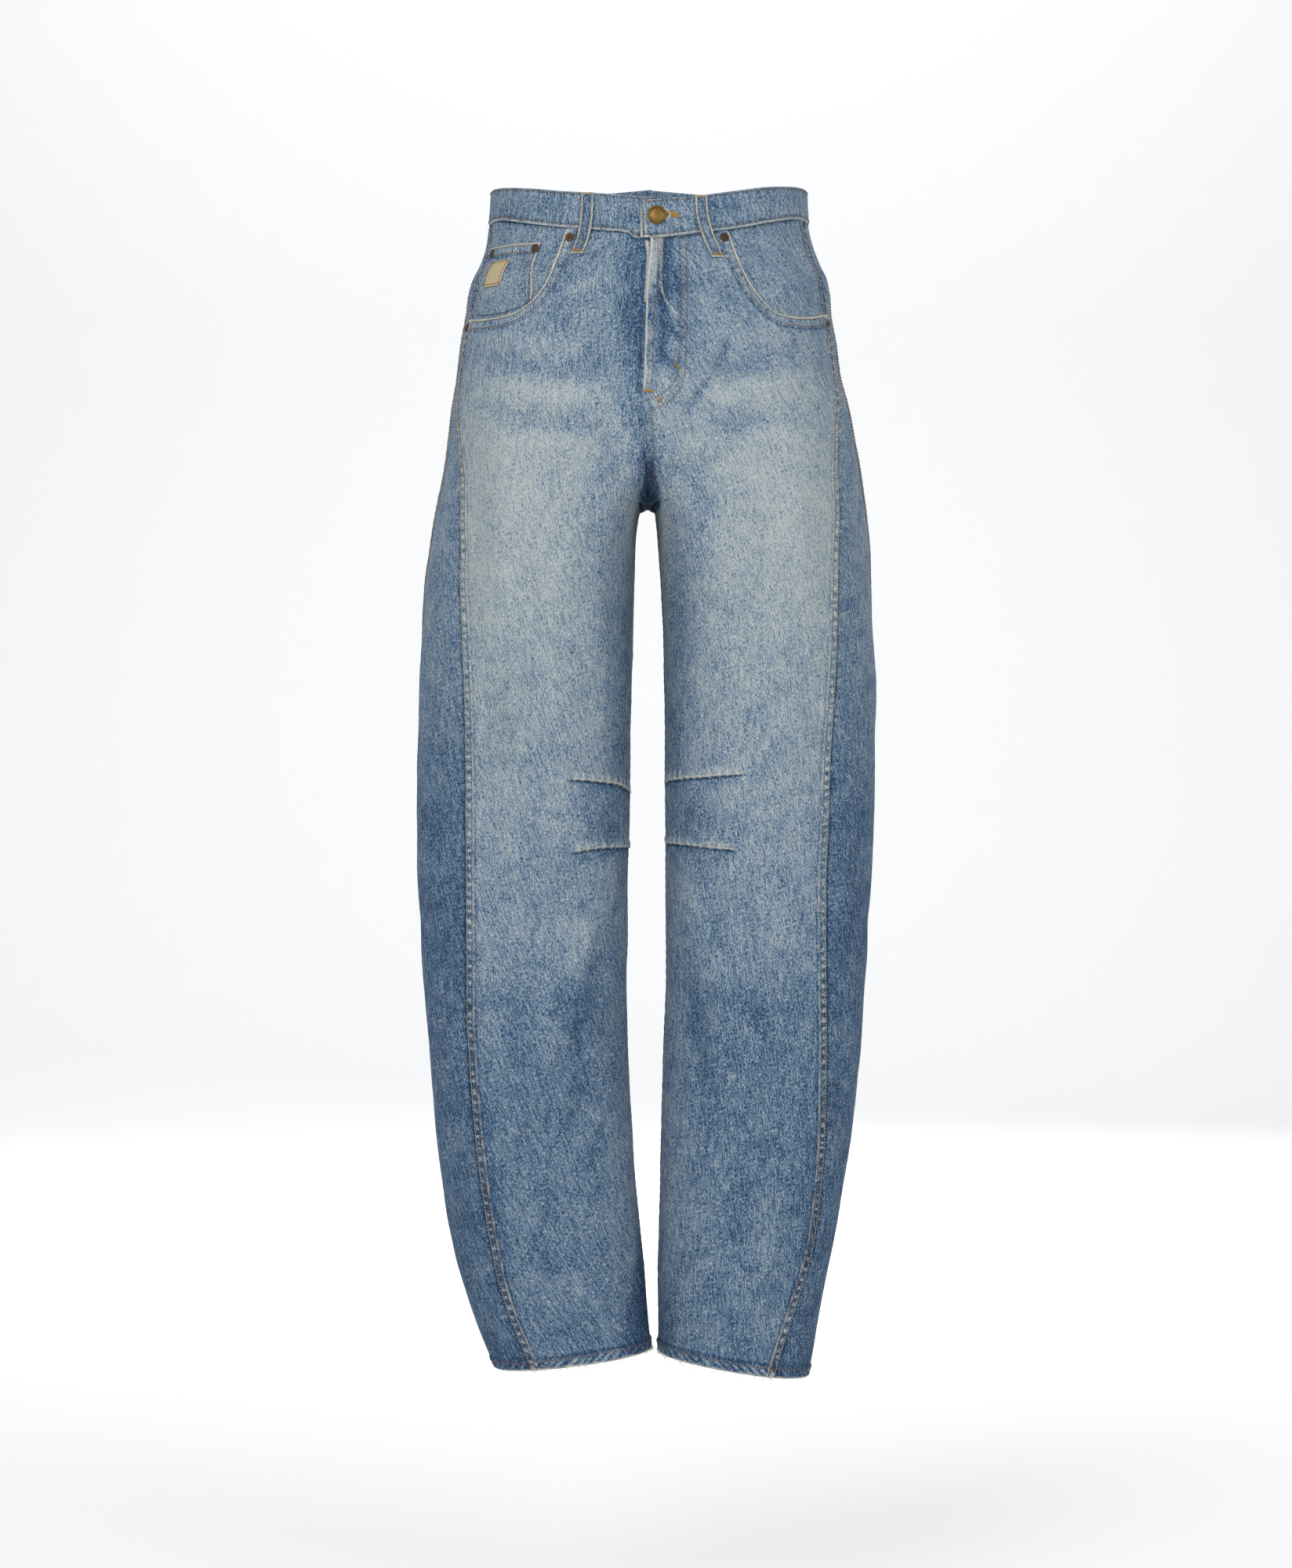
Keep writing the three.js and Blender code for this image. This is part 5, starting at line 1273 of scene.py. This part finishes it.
def waistband_cloth():
    ends = BAND_ENDS
    right = [float(front_reach(-1, -ends["under"], -15.0)), float(half_length(-1, 0.0, True))]
    left = [float(half_length(1, 0.0, True)) - 2.4, float(front_reach(1, ends["over"], -15.0))]
    reach_right = lerp(*right, shares(right[1] - right[0], 6, 0, 1.5, 2.4))
    reach_left = lerp(*left, shares(left[0] - left[1], 0, 26, 0.9, 2.4))
    reach = np.concatenate([reach_right, reach_left])
    side = np.repeat([-1, 1], [len(reach_right), len(reach_left)])
    x = by_side(surface, side, reach, -15.0)[..., 0]
    under_lap = smooth((x - ends["under_from"]) / (ends["under_full"] - ends["under_from"]))
    lift = BAND_LIFT - np.where((side < 0) & (reach < 0), under_lap, 0) * (BAND_CLOTH + 0.5)
    low = by_side(waist_seam, side, reach)
    # The lapped end's upper corner is rounded
    from_end = np.clip(6 - np.where(side > 0, reach - left[1], 99.0), 0, 6) / 6
    top = by_side(waist_top, side, reach) - 4.0 * (1 - np.sqrt(np.clip(1 - from_end ** 2, 0, 1)))
    z = lerp(top[None], low[None], shares(36, 8, 14, 0.85, 1.2)[:, None])
    # Near its lapped end the band runs straight up, so its columns keep their x there
    upright = np.where((side > 0) & (reach < 0), smooth((70 - x) / 30), 0)[None]
    wide, sides, at_x = (np.broadcast_to(v[None], z.shape) for v in (reach, side, x))
    full = lerp(wide, front_reach(1, at_x, z), upright)
    kinds = (plain, strip_end, band_top, band_low)
    made = Cloth("waistband_cloth", "waistband", sides, "band", full, z, lift[None], BAND_CLOTH, kinds, 0.3)
    made.first = len(reach_right) + len(reach_left) // 2
    return made


def loop_cloth(name, side, top_reach, low_reach):
    t = np.linspace(0, 1, 60)[:, None]
    share = np.linspace(-0.5, 0.5, 15)[None]
    z = lerp(waist_top(side, top_reach) + LOOP["above"], waist_seam(side, low_reach) - LOOP["below"], t)
    reach = lerp(top_reach, low_reach, t)
    seat = lerp(LOOP["low"], LOOP["band"], smooth((z - waist_seam(side, reach) + 9) / 7))
    arch = np.sin(math.pi * np.clip((t - 0.06) / 0.8, 0, 1)) ** 0.8
    lift = seat + LOOP["stand"] * arch + 0.4 * (1 - 4 * share ** 2) + LOOP["cloth"]
    return Cloth(name + "_cloth", name, side, "loop", reach + share * LOOP["width"], z + 0 * share, lift,
                 LOOP["cloth"], (worn_and_shaded_edge,) * 4)


# Belt loops: node, side, reach of the top and of the low end
LOOPS = [
    ("belt_loop_front_right", -1, float(front_reach(-1, 52.4, 0.0)), float(front_reach(-1, 60.8, -50.0))),
    ("belt_loop_front_left", 1, float(front_reach(1, 46.4, 0.0)), float(front_reach(1, 58.4, -50.0))),
    ("belt_loop_back_right", -1, 95.0, 95.0),
    ("belt_loop_back_left", 1, 95.0, 95.0),
    ("belt_loop_back_centre", 1, *[float(half_length(1, 30.0, True))] * 2),
]
PAIRED = (front_cloth, side_cloth, back_cloth, yoke_cloth, facing_cloth, pocket_cloth)
loop_pieces = [loop_cloth(*row) for row in LOOPS]
pieces = [make(side) for side in (-1, 1) for make in PAIRED] + [coin_cloth(), tab_cloth(), waistband_cloth()]
cloths = {made.name: made for made in pieces + loop_pieces}
for made in cloths.values():
    shell(made, *((tab_material, "tab") if made.part == "tab" else (denim_material, "denim")))

# Sewing: length of a stitch with its gap, the gap, and the thread's radius and height over the cloth
STITCH = dict(period=2.9, gap=0.55, radius=0.36, high=0.34)


class Thread:
    """Collects stitches of one colour and makes them one object."""

    def __init__(self, colour):
        self.colour = colour
        self.points = []
        self.faces = ([], [])
        self.count = 0

    def strands(self, centres, outs, radius, sides=6):
        """centres: strands x stations x 3; the first and last station are points."""
        count, stations = centres.shape[:2]
        forward = np.gradient(centres, axis=1)
        forward /= np.maximum(np.linalg.norm(forward, axis=-1, keepdims=True), 1e-9)
        across = np.cross(forward, outs)
        across /= np.maximum(np.linalg.norm(across, axis=-1, keepdims=True), 1e-9)
        up = np.cross(across, forward)
        angle = np.arange(sides) * 2 * math.pi / sides
        ring = (centres[:, 1:-1, None] + radius * (across[:, 1:-1, None] * np.cos(angle)[:, None]
                                                  + up[:, 1:-1, None] * np.sin(angle)[:, None]))
        points = np.concatenate([centres[:, :1], ring.reshape(count, -1, 3), centres[:, -1:]], 1)
        base = self.count + np.arange(count)[:, None, None] * points.shape[1]
        for kept, faces in zip(self.faces, tube_faces(stations - 2, sides)):
            kept.append((base + faces[None]).reshape(-1, faces.shape[1]))
        self.points.append(points.reshape(-1, 3))
        self.count += count * points.shape[1]

    def run(self, cloth, row, column, period=STITCH["period"], radius=STITCH["radius"]):
        """A row of stitches along a line on a piece of cloth."""
        length = run_length(cloth.at(row, column)[0])
        starts = np.arange(int(length[-1] / period)) * period
        s = starts[:, None] + np.array([0, 0.2, 0.8, 1.0]) * (period - STITCH["gap"])
        centre, out = cloth.at(np.interp(s, length, row), np.interp(s, length, column))
        lift = np.array([-0.25, STITCH["high"], STITCH["high"], -0.25]) * (radius / STITCH["radius"])
        self.strands(centre + out * lift[None, :, None], out, radius)

    def beside(self, cloth, edge, distance, begin=0.0, stop=ALL, **size):
        self.run(cloth, *cloth.edge_run(edge, distance, begin, stop), **size)

    def across(self, centre, outs, way, offsets, high, radius=0.3):
        """Stitches side by side, each across a line."""
        lifts = np.array([-0.2, high, high, -0.2])[None, :, None]
        self.strands(centre[:, None] + way[:, None] * offsets[..., None] + outs[:, None] * lifts,
                     np.repeat(outs[:, None], 4, 1), radius)

    def cross(self, cloth, line, width, spacing, radius=0.3):
        """Dense stitches across a short line, as in a bartack or a buttonhole."""
        points, out = cloth.at(*cloth.find(line))
        length = run_length(points)
        s = np.arange(0.3, length[-1], spacing)
        centre, outs = (np.stack([np.interp(s, length, v[:, k]) for k in range(3)], -1)
                        for v in (points, out))
        way = np.cross(np.gradient(centre, axis=0), outs)
        way /= np.linalg.norm(way, axis=-1, keepdims=True)
        wave = 1 + 0.14 * np.sin(np.arange(len(s)) * 2.3)
        offsets = np.array([-0.5, -0.36, 0.36, 0.5]) * width * wave[:, None]
        self.across(centre, outs, way, offsets, 0.5, radius)

    def fray(self, cloth, edge, distance, count, length, seed, begin=0.0, radius=0.16):
        """Short frayed ends standing off a worn edge."""
        row, column = cloth.edge_run(edge, distance, begin)
        steps = np.arange(len(row))
        at = np.sort(np.random.default_rng(SEED + seed).random(count)) * (len(row) - 1)
        centre, out = cloth.at(np.interp(at, steps, row), np.interp(at, steps, column))
        random = np.random.default_rng(SEED + seed)
        lean = random.normal(0, 1, (count, 3)) * 0.7
        lean[:, 2] -= 0.3
        way = out * 0.35 + lean
        way /= np.linalg.norm(way, axis=-1, keepdims=True)
        bend = random.normal(0, 0.5, (count, 3))
        t = np.array([0, 0.3, 0.6, 0.85, 1.0])[None, :, None]
        size = length * (0.5 + random.random(count))[:, None, None]
        strands = centre[:, None] + (way[:, None] * t + bend[:, None] * t * t) * size
        self.strands(strands, np.repeat(out[:, None], 5, 1), radius, 5)

    def finish(self):
        thing = mesh_object("sewing_" + self.colour, np.concatenate(self.points),
                            [np.concatenate(v) for v in self.faces])
        thing.data.materials.append(thread_materials[self.colour])
        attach(thing, "root")


threads = {colour: Thread(colour) for colour in THREADS}
rust, tan, gold, white = threads.values()
# Rows of stitches on each piece of a pair: kind, edge, from, then thread and distance of each row
PAIRED_ROWS = [
    ("front", "end", 2, ("tan", 1.7), ("rust", 6.5)), ("side", "end", 2, ("tan", 1.7), ("rust", 6.5)),
    ("facing", "end", 6, ("tan", 3.2), ("rust", 8.0)), ("front", "low", 0, ("rust", 8.3)),
    ("side", "low", 0, ("rust", 8.3)), ("back", "low", 0, ("rust", 8.3)),
    ("yoke", "low", 0, ("tan", 1.8), ("rust", 6.6)), ("pocket", "top", 0, ("rust", 2.4), ("rust", 9.4)),
    ("pocket", "start", 2, ("rust", 1.9)), ("pocket", "start", 7, ("rust", 7.6)),
    ("pocket", "end", 2, ("rust", 1.9)), ("pocket", "end", 7, ("rust", 7.6)),
    ("pocket", "low", 2, ("rust", 1.9)), ("pocket", "low", 7, ("rust", 7.6)),
]
# Rows on single pieces: piece, edge, from, to, then thread and distance of each row
SINGLE_ROWS = [
    ("back_left", "start", 1, 178, ("tan", 1.8), ("rust", 6.6)),
    ("yoke_left", "start", 1, ALL, ("tan", 1.8), ("rust", 6.6)),
    ("waistband_cloth", "low", 0, ALL, ("rust", 2.9)), ("waistband_cloth", "top", 0, ALL, ("rust", 2.0)),
    ("waistband_cloth", "end", 3, 34, ("tan", 2.8)),
    ("coin_pocket_cloth", "top", 0, ALL, ("rust", 2.0), ("rust", 8.6)),
    ("coin_pocket_cloth", "start", 4, ALL, ("rust", 2.3)),
    ("coin_pocket_cloth", "start", 10, ALL, ("rust", 7.4)),
]
MOUTH_ROWS = (2.3, 8.4)
for key in KEYS.values():
    front = cloths["front_" + key]
    for kind, edge, begin, *rows in PAIRED_ROWS:
        for colour, distance in rows:
            threads[colour].beside(cloths[kind + "_" + key], edge, distance, begin)
    way = np.gradient(front.mouth, axis=0)
    way /= np.linalg.norm(way, axis=1, keepdims=True)
    for distance in MOUTH_ROWS:
        row = front.mouth + distance * np.stack([way[:, 1], -way[:, 0]], -1)
        rust.run(front, *front.find(row[1:-1]))
for name, edge, begin, stop, *rows in SINGLE_ROWS:
    for colour, distance in rows:
        threads[colour].beside(cloths[name], edge, distance, begin, stop)
for edge in EDGES:
    rust.beside(cloths["tab"], edge, 1.8, period=2.6, radius=0.34)

# Lines sewn on the left front, seen from the front: x, z
FLY_LINES = [
    [(9.4, -37), (9.0, -48), (8.6, -70), (6.9, -91), (5.2, -122), (4.2, -150), (3.6, -166)],
    [(27.1, -37), (29, -76), (28, -117), (26.6, -147), (25.3, -158), (21.8, -165), (16.3, -170), (9.6, -175),
     (3.4, -178), (-3.6, -180)],
    [(32.9, -35.7), (34.5, -82.9), (33.1, -131), (32, -154.8), (30.4, -163), (26.3, -171.2), (20.9, -177.3),
     (14.8, -182), (8.1, -185.4), (3.3, -188.1), (-2.4, -189.4)],
    [(-2.4, -192), (-1.6, -212), (0.6, -232), (1.6, -250)],
    [(4.4, -190), (4.6, -212), (6.2, -232), (7.4, -250)],
]
front = cloths["front_left"]
band = cloths["waistband_cloth"]
for rows in FLY_LINES:
    rust.run(front, *front.find(seen(1, curve(rows, 60))))
# Bartacks and other dense stitching on the left: piece, x and z of both ends, width
TACKS = [
    ("front_left", (-3.2, -170.5), (5.6, -171.5), 2.4), ("front_left", (8.0, -180), (13.5, -176), 2.0),
    ("front_left", (23, -147), (28, -152), 2.0), ("waistband_cloth", (17.8, -14.6), (27.2, -17.6), 5.2),
]
for name, start, end, width in TACKS:
    gold.cross(cloths[name], seen(1, curve([start, end], 12)), width, 0.62)
EYELET = [(13.6, -11.0), (17.6, -13.0), (19.4, -16.1), (18.4, -18.8), (14.6, -20.6)]
white.cross(band, seen(1, curve(EYELET, 24)), 2.2, 0.5, 0.28)
LOOP_BAR = np.array([-1.1, -0.8, 0.8, 1.1])
for piece in loop_pieces:
    for edge in ("start", "end"):
        rust.beside(piece, edge, 2.1, 2)
    for thread, distance in ((tan, 1.2), (gold, piece.top[-1, 0] - 2.6)):
        r, c = piece.edge_run("top", distance)
        at = np.linspace(0, len(r) - 1, 15)[1:-1]
        centre, outs = piece.at(*(np.interp(at, np.arange(len(r)), v) for v in (r, c)))
        thread.across(centre, outs, np.broadcast_to([0, 0, 1.0], centre.shape), LOOP_BAR[None], 0.45)
for k, key in enumerate(KEYS.values()):
    front = cloths["front_" + key]
    white.fray(front, "low", 0.4, 110, 2.4, 50 + k)
    white.fray(cloths["back_" + key], "low", 0.4, 90, 2.0, 60 + k)
    white.fray(front, "top", 0.4, 60, 1.6, 70 + k, front.waist_part + 8)
white.fray(band, "low", 0.4, 60, 1.2, 80)
for thread in threads.values():
    thread.finish()


def turned_piece(node, profile, segments, side, x, z, lift, material, slot, name):
    """A round metal piece standing on the cloth at x and z as seen from the front."""
    reach = np.array(float(front_reach(side, x, z)))
    out = Vector(normal(side, reach, np.array(float(z))))
    base = Vector(surface(side, reach, np.array(float(z)))) + out * lift
    turn = Vector((0, 0, 1)).rotation_difference(out)
    angle = np.arange(segments) * 2 * math.pi / segments
    rings = [(r * math.cos(a), r * math.sin(a), h) for r, h in profile[1:-1] for a in angle]
    points = [(0, 0, profile[0][1])] + rings + [(0, 0, profile[-1][1])]
    thing = mesh_object(name, np.array([base + turn @ Vector(p) for p in points]),
                        tube_faces(len(profile) - 2, segments))
    enter(thing, material, node)


# Radius and height along each round piece, from its foot to the middle of its face
BUTTON_PROFILE = [
    (0, 0), (3, 0), (3, 1.0), (7.4, 1.2), (8.0, 1.7), (8.2, 2.3), (8.15, 2.9), (7.9, 3.35), (7.5, 3.55),
    (7.1, 3.2), (6.85, 2.3), (6.5, 2.2), (6.1, 2.6), (4.6, 3.2), (4.3, 3.1), (4.0, 3.25), (2.0, 3.4),
    (0, 3.45),
]
RIVET_PROFILE = [
    (0, 0), (3.7, 0), (3.9, 0.35), (3.75, 0.7), (3.2, 1.0), (2.6, 0.98), (1.9, 0.75), (1.5, 0.85),
    (1.25, 1.4), (0.9, 1.65), (0, 1.72),
]
# Rivets: node, side, x and z as seen from the front, height over the cloth
RIVETS = [
    ("rivet_scoop_right", -1, 67.3, -35.8, 0.5), ("rivet_scoop_left", 1, 66.6, -35.9, 0.5),
    ("rivet_coin_inner", -1, 97.9, -43.8, -0.6), ("rivet_coin_outer", -1, 137.2, -42.8, -0.6),
    ("rivet_side_right", -1, 159.2, -107.0, 0.5), ("rivet_side_left", 1, 159.0, -103.0, 0.5),
]
turned_piece("waist_button", BUTTON_PROFILE, 72, 1, *BUTTON_AT, BAND_LIFT + SEAM_GAP, brass, "button",
             "button_face")
for node, side, x, z, lift in RIVETS:
    turned_piece(node, RIVET_PROFILE, 40, side, x, z, lift, bronze, "rivet", node + "_face")

# What each kind of piece was cut to, as far as it shows: width, length and area, in metres
CUTS = {
    "front": (0.265, 1.07, 0.18), "side": (0.158, 1.045, 0.112), "back": (0.362, 1.02, 0.209),
    "yoke": (0.215, 0.09, 0.0131), "facing": (0.14, 0.115, 0.0102), "pocket": (0.129, 0.144, 0.0158),
    "coin": (0.086, 0.065, 0.0045), "waistband": (0.82, 0.038, 0.0262), "belt": (0.0104, 0.056, 0.00058),
}
for made in cloths.values():
    if made.part != "tab":
        width, length, area = CUTS[made.name.split("_")[0]]

# Camera, at the height of the middle of the garment and level
LENS = 82.3
SENSOR = 36
CAMERA_AT = (-0.0014, -3.2, -0.5096)
camera = bpy.data.cameras.new("camera")
camera.lens = LENS
camera.sensor_width = SENSOR
camera.sensor_fit = "AUTO"
eye = bpy.data.objects.new("camera", camera)
eye.location = CAMERA_AT
eye.rotation_euler = (math.pi / 2, 0, 0)
bpy.context.collection.objects.link(eye)
bpy.context.scene.camera = eye

# The pale floor sweeps up into a wall behind; sizes in metres
FLOOR = dict(height=-1.25, half_width=30.0, near=-70.0, far=4.5, sweep=2.0, wall_top=9.0)


def backdrop():
    far, sweep = FLOOR["far"], FLOOR["sweep"]
    profile = [(FLOOR["near"], 0.0), (far, 0.0)]
    angles = np.linspace(0.05, math.pi / 2, 16)
    profile += [(far + sweep * math.sin(a), sweep - sweep * math.cos(a)) for a in angles]
    profile += [(far + sweep, FLOOR["wall_top"])]
    points = [(x * 1000, y * 1000, (FLOOR["height"] + h) * 1000) for y, h in profile
              for x in (-FLOOR["half_width"], FLOOR["half_width"])]
    quads = np.array([(2 * k, 2 * k + 1, 2 * k + 3, 2 * k + 2) for k in range(len(profile) - 1)])
    thing = mesh_object("floor", np.array(points), [quads])
    thing.data.materials.append(plain_material("pale_floor", (219, 219, 219), 0.95, gain=1.0))


backdrop()
# Area lights: place, aimed at, size, watts
LIGHTS = [
    ((-1.9, -3.2, 1.5), (0, 0, -0.5), 2.2, 74.0),
    ((2.4, -2.8, 0.9), (0, 0, -0.5), 2.2, 40.0),
    ((0.0, -3.6, -0.6), (0, 0, -0.6), 2.6, 22.0),
    ((0.0, 3.2, 3.4), (0, 6.5, -0.2), 5.0, 150.0),
    ((0.8, 3.6, 1.2), (0, 0, -0.5), 2.4, 60.0),
]
for k, (place, target, size, watts) in enumerate(LIGHTS):
    lamp = bpy.data.lights.new("lamp_%d" % k, "AREA")
    lamp.size = size
    lamp.energy = watts
    holder = bpy.data.objects.new("lamp_%d" % k, lamp)
    holder.location = place
    holder.visible_camera = False
    holder.rotation_euler = (Vector(target) - Vector(place)).to_track_quat("-Z", "Y").to_euler()
    bpy.context.collection.objects.link(holder)
world = bpy.data.worlds.new("studio")
world.use_nodes = True
sky = world.node_tree.nodes["Background"].inputs
sky["Color"].default_value = (0.95, 0.97, 1.0, 1)
sky["Strength"].default_value = 0.75
bpy.context.scene.world = world
bpy.context.scene.view_settings.view_transform = "Standard"
